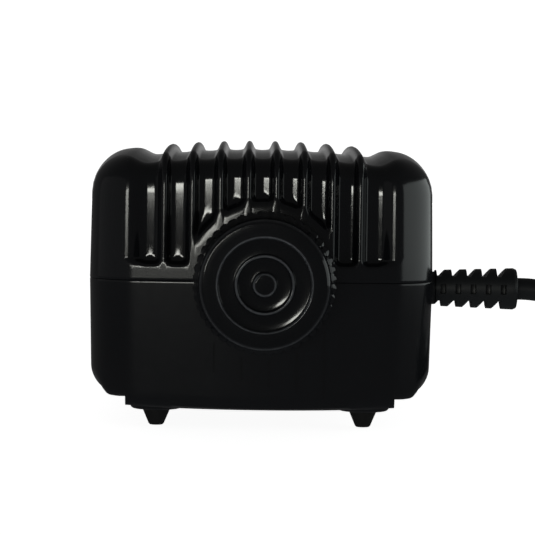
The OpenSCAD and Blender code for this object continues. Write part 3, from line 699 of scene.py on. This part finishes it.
def build_top():
    xs = x_lines(True)
    cols = ring_columns(xs, Y_UP)
    C = np.array([[c[0], c[1], c[2], c[3]] for c in cols], float)
    Z1 = 66.0
    ue = np.full(len(cols), 45.7)
    fr, bk = (C[:, 3] == -1), (C[:, 3] == 1)
    ue[fr] = u_end(C[fr, 0], False)
    ue[bk] = u_end(C[bk, 0], True)
    wall = [np.full(len(cols), z) for z in (PZ + 0.03, PZ + 0.12, PZ + 0.3, PZ + 0.7)]
    a = PZ + 0.7
    for t in (0.25, 0.5, 0.75, 0.92):
        wall.append(a + (ue - 0.9 - a) * t)
    for o in (-0.9, -0.6, -0.35, -0.15, 0.0, 0.15, 0.3, 0.47, 0.65, 0.85, 1.1, 1.4, 1.8, 2.3):
        wall.append(ue + o)
    b = ue + 2.3
    for t in (0.14, 0.3, 0.46, 0.62, 0.78, 0.9, 1.0):
        wall.append(b + (Z1 - b) * t)
    f = lambda x, y, z: base(x, y, z, (0, 0, 0), True) + groove(x, y, z)
    outer = shell(cols, xs, Y_UP, wall, Z1, FAN, f, 1, {0: 0.16, 1: 0.05})
    g = lambda x, y, z: base(x, y, z, (WALL, GD + 2.2, GD + 2.2), True)
    wall_in = [np.full(len(cols), z) for z in (PZ + 0.04, PZ + 2, PZ + 12, PZ + 22)]
    inner = shell(cols, xs, Y_UP, wall_in, 63.0, FAN_IN, g, 1)
    top = two_skins("case_top_shell", outer, inner)
    add = []
    for x, y in SCREWS:
        h = 30.4 if y < 0 else 18.0
        add.append(lathe("boss", [(0, PZ + 0.05), (3.7, PZ + 0.05), (4, PZ + 0.35), (4, PZ + h), (0, PZ + h)], (x, y, 0), (0, 0, 1), 40))
    top = boolean(top, join("bosses", add), "UNION")
    cut = [lathe("c", [(0, PZ - 3), (1.5, PZ - 3), (1.5, PZ + 16), (0, PZ + 16.8)], (x, y, 0), (0, 0, 1), 24) for x, y in SCREWS]
    cut.append(lathe("c", [(0, 57), (4.2, 57), (4.2, 90), (0, 90)], (KX, 0, PZ), (0, -1, 0), 48))
    cut.append(lathe("c", [(0, 38), (4.6, 38), (4.6, 50), (0, 50)], (0, CORD_Y, CORD_Z), (1, 0, 0), 48))
    cut += [lathe("c", [(0, 60), (4.05, 60), (4.05, 80), (0, 80)], (s * OUT_X, 0, OUT_Z), (0, 1, 0), 48) for s in (-1, 1)]
    top = boolean(top, join("cutters", cut))
    give(sharp(top, 50), "case_plastic")
    co = np.array([v.co for v in top.data.vertices]) / MM
    d = groove(co[:, 0], co[:, 1], co[:, 2]) * ((np.abs(co[:, 1]) > 60) | (co[:, 2] > 66))
    polish(top, np.clip((d - 0.5) / 0.9, 0, 1))
    return top


def build_lower():
    xs = x_lines(False)
    ys = sorted(set([-58.0, -56.0] + list(range(-54, 55, 6)) + [56.0, 58.0]))
    cols = ring_columns(xs, ys)
    C = np.array([[c[0], c[1], c[2], c[3]] for c in cols], float)
    nc = len(cols)
    wall = [np.full(nc, z) for z in (PZ - 0.03, PZ - 0.12, PZ - 0.3, PZ - 0.7, 35.0, 30.0, 25.0, 20.0, 17.5, 16.0)]
    z1 = 16.0
    zb = np.where(np.abs(C[:, 0]) < BAND_W, BAND_BOTTOM, SIDE_BOTTOM)
    end = (np.abs(C[:, 3]) == 1) & (np.abs(C[:, 0]) < BAND_W)
    for t in (0.25, 0.5, 0.7, 0.82, 0.9):
        wall.append(np.where(np.abs(C[:, 3]) == 1, z1 - (z1 - zb - 0.2) * t, z1))
    fan = [math.radians(a) for a in (1, 6, 12, 18, 24, 30, 36, 42, 48, 54, 60, 66, 72, 78, 84)]

    f = lambda x, y, z: base(x, y, z, (0, 0, 0), False)
    V, F, _ = lower_skin(cols, xs, ys, wall[:10], f, {0: 0.16, 1: 0.05}, True)
    g = lambda x, y, z: base(x, y, z, (WALL, WALL, 2.5), False)
    W, G, _ = lower_skin(cols, xs, ys, [np.full(nc, z) for z in (PZ - 0.04, PZ - 2, 26.0, 16.0)], g, None, False)
    low = two_skins("case_lower_shell", (V, F, nc), (W, G, nc))
    add = []
    for sx in (-1, 1):
        for sy in (-1, 1):
            add.append(lathe("b", fillet([(0, FOOT_H), (6.9, FOOT_H), (7.1, 10.6), (5, 11.4), (0, 11.4)], [0, 0.9, 0, 0, 0], 5), (sx * FOOT_X, sy * FOOT_Y, 0), (0, 0, 1), 56))
    for x in (-24, 24):
        add.append(lathe("b", [(0, 7), (3.8, 7), (3.8, 23.7), (3.5, 24), (0, 24)], (x, -46, 0), (0, 0, 1), 40))
    for x in (-31, 31):
        for y in (-4, 40):
            add.append(lathe("b", [(0, 7), (3.6, 7), (3.6, 14.7), (3.3, 15), (0, 15)], (x, y, 0), (0, 0, 1), 40))
    for x in (-22.5, 19.5):
        add.append(box_mesh("b", (x, -59, 6.5), (x + 3, -53.4, 31), 0.25))
    for x, y in SCREWS:
        add.append(lathe("b", [(0, 7), (4, 7), (4, PZ - 0.4), (3.7, PZ - 0.05), (0, PZ - 0.05)], (x, y, 0), (0, 0, 1), 40))
    low = boolean(low, join("posts", add), "UNION")
    pil = boolean(boolean(box_mesh("p", (-21, 45.5, 6.5), (-5, 60, PZ + 2), 0.3), box_mesh("p", (5, 45.5, 6.5), (21, 60, PZ + 2), 0.3), "UNION"),
                  box_mesh("p", (-5.5, 47.5, 6.4), (5.5, 58.5, PZ + 2), 0.3), "UNION")
    low = boolean(low, pil, "UNION")
    cut = []
    for x, y in SCREWS:
        cut.append(lathe("c", [(0, 0), (3.3, 0), (3.3, 20), (1.7, 20), (1.7, PZ + 3), (0, PZ + 3)], (x, y, 0), (0, 0, 1), 40))
    for sx in (-1, 1):
        for sy in (-1, 1):
            cut.append(lathe("c", [(0, 0), (2.5, 0), (2.5, 8.4), (0, 8.4)], (sx * FOOT_X, sy * FOOT_Y, 0), (0, 0, 1), 32))
    for x in (-24, 24):
        cut.append(lathe("c", [(0, 12), (1.5, 12), (1.5, 30), (0, 30)], (x, -46, 0), (0, 0, 1), 24))
    for x in (-31, 31):
        for y in (-4, 40):
            cut.append(lathe("c", [(0, 9), (1.25, 9), (1.25, 20), (0, 20)], (x, y, 0), (0, 0, 1), 24))
    cut.append(lathe("c", [(0, 57), (4.2, 57), (4.2, 90), (0, 90)], (KX, 0, PZ), (0, -1, 0), 48))
    cut.append(lathe("c", [(0, 38), (4.6, 38), (4.6, 50), (0, 50)], (0, CORD_Y, CORD_Z), (1, 0, 0), 48))
    for s in (-1, 1):
        cut.append(box_mesh("c", (s * 13 - 6, 44, 26), (s * 13 + 6, 58, PZ + 9), 0))
    cut.append(lathe("c", [(0, 24), (1.5, 24), (1.5, 54), (0, 54)], (0, 53, 0), (0, 0, 1), 24))
    cut.append(box_mesh("c", (-20.3, -57.1, 9.9), (20.3, -55.3, PZ + 5), 0))
    low = boolean(low, join("cutters", cut))
    seat = boolean(box_mesh("s", (-18, 7, -2), (18, 33, 12), 0), box_mesh("s", (-20.2, 4.8, -3), (20.2, 35.2, BAND_BOTTOM + 1.6), 0), "UNION")
    low = boolean(low, seat)
    # upright flutes below the knob
    fl = []
    for i in range(-2, 3):
        x = 2.3 + i * 7.2
        zt = PZ - math.sqrt(max(0.0, (PADR + 0.1) ** 2 - (x - KX) ** 2))
        yf = -(HL - x * x / 600)
        fl.append(box_mesh("f", (x - 0.22, yf - 3, 11.5 - 1.6 * i), (x + 0.22, yf + 0.85, zt), 0))
    low = boolean(low, join("flutes", fl))
    return give(sharp(low, 50), "case_plastic")


def lower_skin(cols, xs, ys, wall, f, rim_in, outer):
    """Lower half: wall rows down to z=16, then rows that turn under, with the step of the base band in the cap grid."""
    fan = [math.radians(a) for a in (4, 9, 14, 20, 26, 32, 38, 44, 50, 56, 62, 68, 74, 80, 85)] if outer else [math.radians(a) for a in (15, 30, 45, 60, 75)]
    return shell(cols, xs, ys, wall, 16.0, fan, f, -1, rim_in)


shown = []
top = build_top()
low = build_lower()
for ob, n in ((top, "top_cover"), (low, "lower_case")):
    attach(ob, "case")
    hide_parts(n)


# ---------------------------------------------------------------- knob
def build_knob():
    prof = fillet([(3.02, 73.0), (4.6, 73.0), (4.6, 76.0), (12.5, 76.0), (14.4, 75.0), (16.2, 71.8), (KNOB_R, 71.8), (KNOB_R, 76.6), (17.5, 77.5),
                   (17.0, 84.2), (16.5, 86.4), (15.7, 86.9), (12.5, 86.9), (12.1, 86.9), (11.7, 85.6), (7.9, 85.5), (7.55, 86.15), (7.05, 86.15),
                   (6.7, 85.0), (3.3, 84.9), (2.85, 86.0), (2.3, 86.2), (0.0, 86.2)],
                  [0, 0.2, 0.3, 0.5, 0.6, 0.4, 0.35, 0.5, 0.4, 1.2, 1.0, 0.5, 0, 0.25, 0.3, 0.25, 0.18, 0.18, 0.3, 0.3, 0.25, 0.3, 0], 4)
    fine = [prof[0]]
    for p, q in zip(prof[:-1], prof[1:]):
        d = math.hypot(q[0] - p[0], q[1] - p[1])
        k = max(1, int(d / 1.2))
        fine += [(p[0] + (q[0] - p[0]) * t / k, p[1] + (q[1] - p[1]) * t / k) for t in range(1, k + 1)]
    fine.append((0.0, 83.5))
    fine.append((3.02, 83.5))

    def scallop(r, h, a):
        if r < 17.2 or h > 77.6:
            return r
        c = abs(math.sin(a * 22))
        depth = 0.55 * (1 - c) ** 1.2 * min(1.0, (r - 17.2) / 1.0)
        depth *= min(1.0, max(0.0, (77.5 - h) / 0.8))
        return r - depth
    k = lathe("knob", fine[:-2], (KX, 0, PZ), (0, -1, 0), 44 * 8, scallop)
    hole = lathe("h", [(0, 60), (3.02, 60), (3.02, 83.5), (0, 83.5)], (KX, 0, PZ), (0, -1, 0), 64)
    # close the open back of the profile with a cap so that the solid can be drilled
    bm = bmesh.new()
    bm.from_mesh(k.data)
    edges = [e for e in bm.edges if e.is_boundary]
    if edges:
        bmesh.ops.contextual_create(bm, geom=edges)
        bmesh.ops.recalc_face_normals(bm, faces=bm.faces)
    bm.to_mesh(k.data)
    bm.free()
    k = boolean(k, hole)
    give(sharp(k, 60), "knob_plastic")
    co = np.array([v.co for v in k.data.vertices]) / MM
    r = np.hypot(co[:, 0] - KX, co[:, 2] - PZ)
    # painted highlight: a mask over the crests of the face rings and the face's outer rim, front face only, that the
    # knob material turns lighter
    e = np.zeros(len(co))
    for ring, w, g in ((12.1, 0.3, 1.0), (7.3, 0.3, 1.0), (2.75, 0.3, 1.0), (16.4, 0.3, 0.3)):
        e = np.maximum(e, g * np.clip(1.35 - np.abs(r - ring) / w, 0, 1))
    a = k.data.attributes.get("edge") or k.data.attributes.new("edge", "FLOAT", "POINT")
    a.data.foreach_set("value", (e * (co[:, 1] < -85.6)).astype(np.float32))
    return k


knob = build_knob()
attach(knob, "knob")
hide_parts("control_knob")

# ---------------------------------------------------------------- feet
for name, sx, sy in (("foot_front_left", -1, -1), ("foot_front_right", 1, -1), ("foot_rear_left", -1, 1), ("foot_rear_right", 1, 1)):
    prof = fillet([(0, 0.25), (1.0, 0.0), (1.7, 0.0), (2.05, 0.35), (3.75, FOOT_H - 0.02), (2.45, FOOT_H - 0.02), (2.45, FOOT_H + 3.4), (0, FOOT_H + 3.4)],
                  [0, 0.2, 0.15, 0.3, 0.25, 0.1, 0.3, 0], 3)
    ft = lathe(name + "_cone", prof, (sx * FOOT_X, sy * FOOT_Y, 0), (0, 0, 1), 48)
    give(sharp(ft, 50), "foot_rubber")
    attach(ft, "case")
    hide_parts(name)


# ---------------------------------------------------------------- strain relief
def build_relief():
    x0 = HW - 5.1
    prof = fillet([(3.0, x0), (6.6, x0), (6.6, x0 + 2), (4.5, x0 + 2), (4.5, HW + 0.1), (4.95, HW + 0.1), (5.7, HW + RELIEF - 0.9), (5.3, HW + RELIEF), (3.0, HW + RELIEF)],
                  [0, 0.3, 0.3, 0.2, 0.1, 0.3, 0.5, 0.3, 0], 4)
    fine = []
    for p, q in zip(prof[:-1], prof[1:]):
        k = max(1, int(math.hypot(q[0] - p[0], q[1] - p[1]) / 0.8))
        fine += [(p[0] + (q[0] - p[0]) * t / k, p[1] + (q[1] - p[1]) * t / k) for t in range(k)]
    fine.append(prof[-1])
    ob = lathe("relief", fine, (0, CORD_Y, CORD_Z), (1, 0, 0), 72, closed=True)
    cuts = []
    for i in range(5):
        xa = HW + 0.55 + i * 4.1
        # notches above and below, sawtooth: sloping on one side and square on the other
        for sz, flip in ((1, False), (-1, True)):
            xr = xa + 1.35
            q = [(xa, 3.3), (xa + 1.0, 3.3), (xa + 4.6, 8.0), (xa - 0.1, 8.0)] if not flip else [(xr - 1.0, 3.3), (xr, 3.3), (xr + 0.1, 8.0), (xr - 4.6, 8.0)]
            v = [(x, y, sz * z) for y in (-9.0, 9.0) for x, z in q]
            fcs = [(0, 1, 2, 3), (7, 6, 5, 4), (0, 4, 5, 1), (1, 5, 6, 2), (2, 6, 7, 3), (3, 7, 4, 0)]
            c = outward(mesh_obj("n", [(a, b + CORD_Y, d + CORD_Z) for a, b, d in v], fcs, False))
            cuts.append(c)
    ob = boolean(ob, join("notches", cuts))
    cuts = []
    for i in range(5):
        xb = HW + 1.4 + i * 4.1
        for sy in (-1, 1):
            y0, y1 = sorted((sy * 3.3, sy * 9.0))
            cuts.append(box_mesh("n", (xb, CORD_Y + y0, CORD_Z - 1.35), (xb + 1.55, CORD_Y + y1, CORD_Z + 1.35), 0.2))
    ob = boolean(ob, join("notches", cuts))
    return give(sharp(ob, 40), "cord_pvc")


relief = build_relief()
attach(relief, "case")
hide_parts("strain_relief")


# ---------------------------------------------------------------- cord: the whole real length on one curve
def spline(p, n):
    out = []
    p = [np.array(q, float) for q in p]
    for i in range(len(p) - 1):
        a, b, c, d = p[max(0, i - 1)], p[i], p[i + 1], p[min(len(p) - 1, i + 2)]
        for k in range(n):
            t = k / n
            out.append(0.5 * (2 * b + (c - a) * t + (2 * a - 5 * b + 4 * c - d) * t * t + (3 * b - a - 3 * c + d) * t ** 3))
    out.append(p[-1])
    return out


lead = spline([[70, -40, 36.4], [74, -40, 36.3], [80, -40.1, 35.2], [86, -40.4, 32.4], [92, -40.9, 27.9], [98, -41.6, 22], [104, -42.6, 15.4],
               [110, -44, 9.6], [117, -45.9, 5.4], [125, -48.2, 3.8], [133, -49.6, 3.6], [141, -50, 3.6]], 2)
tail = spline([[141, -50, 9.6], [149, -49.6, 9.6], [157, -48, 9.3], [165, -44.2, 8.4], [172.5, -38.2, 7.1], [178.5, -30.3, 5.6], [182.6, -21, 4.3],
               [184.8, -11, 3.4], [185.6, 0, 3.1], [185.2, 10.7, 3.1], [183.2, 21.3, 3.2], [179.1, 31.3, 3.6], [173.1, 39.9, 4.4], [165.2, 46.3, 5.6], [156.4, 49.8, 6.7],
               [148, 50.6, 7]], 2)
CC = (141.0, -8.0)
coil = []
N = 26
# three turns inwards on the lower layer, a rise at the inner turn, three turns outwards on the upper one
for k in range(1, 3 * N):
    t = k / N
    a = math.radians(-90) + 2 * math.pi * t
    r = 42.0 - 6.2 * t
    coil.append((CC[0] + r * math.cos(a), CC[1] + r * math.sin(a), 3.6))
for k in range(0, 3 * N):
    t = k / N
    a = math.radians(-90) + 2 * math.pi * t
    r = 23.6 + 6.13 * t
    z = 3.6 + 6.0 * min(1.0, (t + 0.0) / 0.42) ** 1.0 if t < 0.42 else 9.6
    s = min(1.0, t / 0.42)
    z = 3.6 + 6.0 * (s * s * (3 - 2 * s))
    coil.append((CC[0] + r * math.cos(a), CC[1] + r * math.sin(a), z))
route = [tuple(p) for p in lead] + coil + [tuple(p) for p in tail]
cu = bpy.data.curves.new("mains_cord", "CURVE")
cu.dimensions = "3D"
sp = cu.splines.new("POLY")
dense = spline(route, 3)
sp.points.add(len(dense) - 1)
for q, p in zip(sp.points, dense):
    q.co = (p[0] * MM, p[1] * MM, p[2] * MM, 1)
sp.use_smooth = True
cu.bevel_depth = CORD_D / 2 * MM
cu.bevel_resolution = 6
cu.use_fill_caps = True
cord = bpy.data.objects.new("mains_cord", cu)
bpy.context.scene.collection.objects.link(cord)
cu.materials.append(M["cord_pvc"])
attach(cord, "case")
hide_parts("power_cord", "cord_coil", "cord_tail")


# ---------------------------------------------------------------- cord tie and plug
def band(name, prof, origin, ang, w, slot):
    """A flat strap round a rectangular bundle: prof is its middle line in (radial, z), w its width along the turn."""
    t = 0.5
    verts, faces = [], []
    n = len(prof)
    ca, sa = math.cos(ang), math.sin(ang)
    cx = sum(p[0] for p in prof) / n
    cz = sum(p[1] for p in prof) / n
    for i, (r, z) in enumerate(prof):
        a, b = Vector(prof[i - 1]), Vector(prof[(i + 1) % n])
        d = (b - a).normalized()
        nr, nz = d.y, -d.x
        if nr * (r - cx) + nz * (z - cz) < 0:
            nr, nz = -nr, -nz
        for off in (0.0, t):
            for s in (-w / 2, w / 2):
                rr, zz = r + nr * off, z + nz * off
                verts.append((origin[0] + rr * ca - s * sa, origin[1] + rr * sa + s * ca, zz))
    for i in range(n):
        j = (i + 1) % n
        a, b = i * 4, j * 4
        faces += [(a, a + 1, b + 1, b), (a + 2, b + 2, b + 3, a + 3), (a, b, b + 2, a + 2), (a + 1, a + 3, b + 3, b + 1)]
    ob = outward(mesh_obj(name, verts, faces))
    return give(sharp(ob, 40), slot)


loop = []
for (cx, cz, a0) in ((23.8, 3.6, 180), (42.2, 3.6, 270), (42.2, 9.6, 0), (23.8, 9.6, 90)):
    for k in range(7):
        a = math.radians(a0 + 90 * k / 6)
        loop.append((cx + 3.1 * math.cos(a), cz + 3.1 * math.sin(a)))
tie = band("coil_tie", loop, CC, math.radians(35), 4.0, "tie")
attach(tie, "case")
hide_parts("cord_tie")


def build_plug():
    """Moulded two-pin plug, lofted from rounded sections, pins towards -X."""
    secs = [(109.0, 15.6, 4.9, 3.0), (109.6, 17.2, 6.3, 4.4), (111.0, 17.8, 6.8, 5.4), (115.0, 17.8, 6.8, 6.0), (121.0, 17.4, 6.8, 6.4), (126.0, 13.6, 6.4, 6.2),
            (130.0, 9.2, 6.0, 5.9), (133.0, 6.4, 5.6, 5.5), (136.0, 5.3, 5.1, 5.1), (142.0, 4.8, 4.7, 4.7), (147.4, 4.25, 4.2, 4.2), (148.0, 3.7, 3.7, 3.7)]
    verts, faces, seg = [], [], 64
    for x, hy, hz, r in secs:
        r = min(r, hy, hz)
        for k in range(seg):
            a = 2 * math.pi * (k + 0.5) / seg
            c, s = math.cos(a), math.sin(a)
            verts.append((x, 50.6 + math.copysign(hy - r, c) + r * c, 7 + math.copysign(hz - r, s) + r * s))
    n = len(secs)
    for i in range(n - 1):
        for k in range(seg):
            m = (k + 1) % seg
            faces.append((i * seg + k, i * seg + m, (i + 1) * seg + m, (i + 1) * seg + k))
    faces.append(tuple(range(seg))[::-1])
    faces.append(tuple((n - 1) * seg + k for k in range(seg)))
    ob = outward(mesh_obj("p", verts, faces))
    grips = []
    for i in range(5):
        x = 114.5 + i * 2.1
        for s in (-1, 1):
            grips.append(box_mesh("g", (x, 50.6 + s * 17.9 - 0.7, 2.6), (x + 1.0, 50.6 + s * 17.9 + 0.7, 11.4), 0.3))
    ob = boolean(ob, join("grips", grips))
    ob.name = "mains_plug"
    return give(sharp(ob, 40), "cord_pvc")


plug = build_plug()
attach(plug, "case")
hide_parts("plug_body")
pins = []
for s in (-1, 1):
    pins.append(lathe("pin", fillet([(0, 90), (1.3, 90), (2, 91.2), (2, 108.9), (0, 108.9)], [0, 0.3, 0.6, 0, 0], 4), (0, 50.6 + s * 9.3, 7), (1, 0, 0), 40))
pins = give(sharp(join("mains_pins", pins), 50), "pin_nickel")
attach(pins, "case")
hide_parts("plug_pins")


# ---------------------------------------------------------------- outlets, filter cover, screws
for side, s in (("left", -1), ("right", 1)):
    prof = fillet([(0, 58), (2.3, 58), (2.3, 65), (4, 65), (4, 69.7), (5.8, 69.7), (6, 69.9), (6, 71.6), (5.6, 72), (2.5, 72), (2.5, 85.4), (1.8, 87), (0, 87)],
                  [0, 0.2, 0.1, 0.2, 0.1, 0.1, 0.1, 0.2, 0.2, 0.3, 0.2, 0.3, 0], 4)
    ob = lathe("o", prof, (s * OUT_X, 0, OUT_Z), (0, 1, 0), 56)
    ob = boolean(ob, lathe("h", [(0, 50), (1.5, 50), (1.5, 90), (0, 90)], (s * OUT_X, 0, OUT_Z), (0, 1, 0), 40))
    ob.name = side + "_outlet_spigot"
    give(sharp(ob, 40), "outlet_plastic")
    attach(ob, "case")
    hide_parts(side + "_outlet")

cov = box_mesh("f", (-20, 5, BAND_BOTTOM), (20, 35, BAND_BOTTOM + 1.5), 0.35, 3)
cuts = [box_mesh("c", (i * 5 - 1, 9, 0), (i * 5 + 1, 31, 20), 0) for i in range(-3, 4)]
for c in cuts:
    pass
cov = boolean(cov, join("c", cuts))
cov = boolean(cov, join("c", [lathe("c", [(0, 0), (0.7, 0), (0.7, 20), (0, 20)], (x, 20, 0), (0, 0, 1), 24) for x in (-18.3, 18.3)]))
cov.name = "air_filter_cover"
give(sharp(cov, 40), "case_plastic")
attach(cov, "case")
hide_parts("filter_cover")


def screw(origin, axis, head_r, head_h, shank_r, shank_l, cross=True):
    """Pan head with a recess, and a threaded shank below it along axis."""
    prof = fillet([(0, 0), (head_r * 0.82, 0), (head_r, head_h * 0.45), (head_r, head_h), (shank_r, head_h)], [0, 0.3, 0.3, 0.1, 0], 4)
    turns = max(3, int(shank_l / 1.1))
    for i in range(turns):
        h = head_h + 0.4 + i * (shank_l - 1.2) / turns
        p = (shank_l - 1.2) / turns
        prof += [(shank_r * 0.82, h), (shank_r, h + p * 0.5), (shank_r * 0.82, h + p)]
    prof += [(shank_r * 0.5, head_h + shank_l - 0.2), (0, head_h + shank_l)]
    ob = lathe("s", prof, origin, axis, 32)
    m = frame_of(origin, axis)
    r1 = box_mesh("r", (-head_r * 0.62, -0.38, -1), (head_r * 0.62, 0.38, head_h * 0.62), 0)
    r2 = box_mesh("r", (-0.38, -head_r * 0.62, -1), (0.38, head_r * 0.62, head_h * 0.62), 0)
    rec = boolean(r1, r2, "UNION") if cross else r1
    if not cross:
        bpy.data.objects.remove(r2)
    mm = m.copy()
    mm.translation = mm.translation * MM
    rec.data.transform(mm)
    return boolean(ob, rec)


cs = [screw((x, y, 17.6), (0, 0, 1), 2.9, 2.4, 1.45, 30.0) for x, y in SCREWS]
cs = give(sharp(join("case_screw_set", cs), 40), "steel_screw")
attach(cs, "case")
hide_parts("case_screws")

# ---------------------------------------------------------------- diaphragms bend between the arm and the case
for side, s in (("left", -1), ("right", 1)):
    prof = fillet([(1.5, 17), (8, 17), (9.2, 18.2), (10.2, 22), (12.6, 23.6), (14.4, 24.6), (15.5, 24.8), (15.5, 26.8), (14.2, 26.8), (12, 25.2), (9.4, 23.6),
                   (8.2, 19.2), (7.6, 18.8), (1.5, 18.8)], [0, 1.2, 1.0, 1.2, 1.0, 0.4, 0.2, 0.2, 0.6, 1.0, 1.2, 0.8, 0.6, 0], 5)
    ob = lathe(side + "_diaphragm_rubber", prof, (0, 18, 33), (s, 0, 0), 72, closed=True)
    give(sharp(ob, 50), "black_rubber")
    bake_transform(ob)
    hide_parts(side + "_diaphragm")

# ---------------------------------------------------------------- CAD nodes that carry over: material, crisp small bevels
BEVEL = {"magnet_core": 0.35, "coil_bobbin": 0.3, "coil_winding": 1.2, "control_board": 0.12, "board_capacitor": 0.9, "board_triac": 0.25, "left_arm": 0.3, "right_arm": 0.3,
         "left_magnets": 0.35, "right_magnets": 0.35, "pivot_clamp": 0.3, "left_chamber": 0.25, "right_chamber": 0.25, "left_chamber_cover": 0.3, "right_chamber_cover": 0.3,
         "left_pivot_rubber": 0.4, "right_pivot_rubber": 0.4, "filter_felt": 0.5, "left_gasket": 0.15, "right_gasket": 0.15, "control_pot": 0.3, "control_shaft": 0.2}
for n, o in nodes.items():
    o.data.materials.clear()
    o.data.materials.append(M[slot_of[n]])
    if o.hide_render:
        continue
    if n in BEVEL:
        md = o.modifiers.new("bevel", "BEVEL")
        md.width = BEVEL[n] * MM
        md.segments = 3
        md.limit_method = "ANGLE"
        md.angle_limit = math.radians(40)
        md.harden_normals = True

# ---------------------------------------------------------------- stage, lights, camera
def emit_mat(name, strength, col=(1, 1, 1)):
    m = bpy.data.materials.new(name)
    m.use_nodes = True
    nt = m.node_tree
    nt.nodes.clear()
    out = nt.nodes.new("ShaderNodeOutputMaterial")
    e = nt.nodes.new("ShaderNodeEmission")
    e.inputs["Color"].default_value = (*col, 1)
    e.inputs["Strength"].default_value = strength
    nt.links.new(e.outputs[0], out.inputs[0])
    return m


def plane(name, pts, mat):
    me = bpy.data.meshes.new(name)
    me.from_pydata([tuple(p) for p in pts], [], [(0, 1, 2, 3)])
    me.materials.append(mat)
    ob = bpy.data.objects.new(name, me)
    bpy.context.scene.collection.objects.link(ob)
    return ob


fm, fnt, fb = new_mat("floor_pale")
fb.inputs["Roughness"].default_value = 0.9
fb.inputs["Specular IOR Level"].default_value = 0.0
fnt.links.new(ramp(fnt, noise(fnt, 3.0), [(0.3, (0.8, 0.8, 0.8)), (0.7, (0.82, 0.82, 0.82))]), fb.inputs["Base Color"])
fb.inputs["Emission Color"].default_value = (1, 1, 1, 1)
fb.inputs["Emission Strength"].default_value = 0.93
floor = plane("floor", [(-6, -3, -0.0002), (6, -3, -0.0002), (6, 6, -0.0002), (-6, 6, -0.0002)], fm)
floor.visible_glossy = False
back = plane("backdrop", [(-6, 5.9, -0.01), (6, 5.9, -0.01), (6, 5.9, 4.5), (-6, 5.9, 4.5)], emit_mat("backdrop_white", 1.1))
back.visible_glossy = False
for k, (z0, z1, e) in enumerate(((0.22, 0.42, 0.28), (0.42, 0.62, 0.2), (0.62, 0.85, 0.13), (0.85, 1.1, 0.08), (1.1, 1.5, 0.05))):
    plane("sky_panel_%d" % k, [(-3, 6.0, z0), (3, 6.0, z0), (3, 6.0, z1), (-3, 6.0, z1)], emit_mat("sky_grey_%d" % k, e))

world = bpy.data.worlds.new("world")
bpy.context.scene.world = world
world.use_nodes = True
bg = world.node_tree.nodes["Background"]
bg.inputs["Color"].default_value = (1, 1, 1, 1)
bg.inputs["Strength"].default_value = 0.065


def area(name, loc, target, sx, sy, radiance, col=(1, 1, 1)):
    l = bpy.data.lights.new(name, "AREA")
    l.shape = "RECTANGLE"
    l.size, l.size_y = sx, sy
    l.energy = radiance * math.pi * sx * sy
    l.color = col
    o = bpy.data.objects.new(name, l)
    o.location = loc
    o.rotation_euler = (Vector(target) - Vector(loc)).to_track_quat("-Z", "Y").to_euler()
    bpy.context.scene.collection.objects.link(o)
    return o


area("window", (-0.34, -1.246, 0.122), (-0.34, 0, 0.122), 0.52, 0.058, 17.0, (0.99, 1.0, 0.93))
area("right_panel", (0.75, 0.06, 0.17), (0.04, -0.03, 0.1), 1.5, 0.34, 0.85, (0.92, 1.0, 0.98))
area("left_panel", (-0.75, -0.25, 0.2), (0, 0, 0.1), 1.3, 0.4, 0.06)

cam_d = bpy.data.cameras.new("camera")
cam = bpy.data.objects.new("camera", cam_d)
bpy.context.scene.collection.objects.link(cam)
bpy.context.scene.camera = cam
cam_d.lens = 142.83
cam_d.sensor_width = 36.0
cam_d.clip_start, cam_d.clip_end = 0.01, 20.0
hd, pt, rl = math.radians(0.38), math.radians(-2.381), math.radians(0.778)
F = Vector((math.sin(hd) * math.cos(pt), math.cos(hd) * math.cos(pt), math.sin(pt)))
R0 = F.cross(Vector((0, 0, 1))).normalized()
U0 = R0.cross(F)
U = U0 * math.cos(rl) - R0 * math.sin(rl)
R = R0 * math.cos(rl) + U0 * math.sin(rl)
m = Matrix((R, U, -F)).transposed().to_4x4()
m.translation = Vector((-2.13, -622.16, 65.58)) * MM
cam.matrix_world = m
bpy.context.scene.view_settings.view_transform = "Standard"
bpy.context.scene.view_settings.look = "None"

for o in (top, low, knob):
    print(o.name, "tris", sum(len(p.vertices) - 2 for p in o.data.polygons))
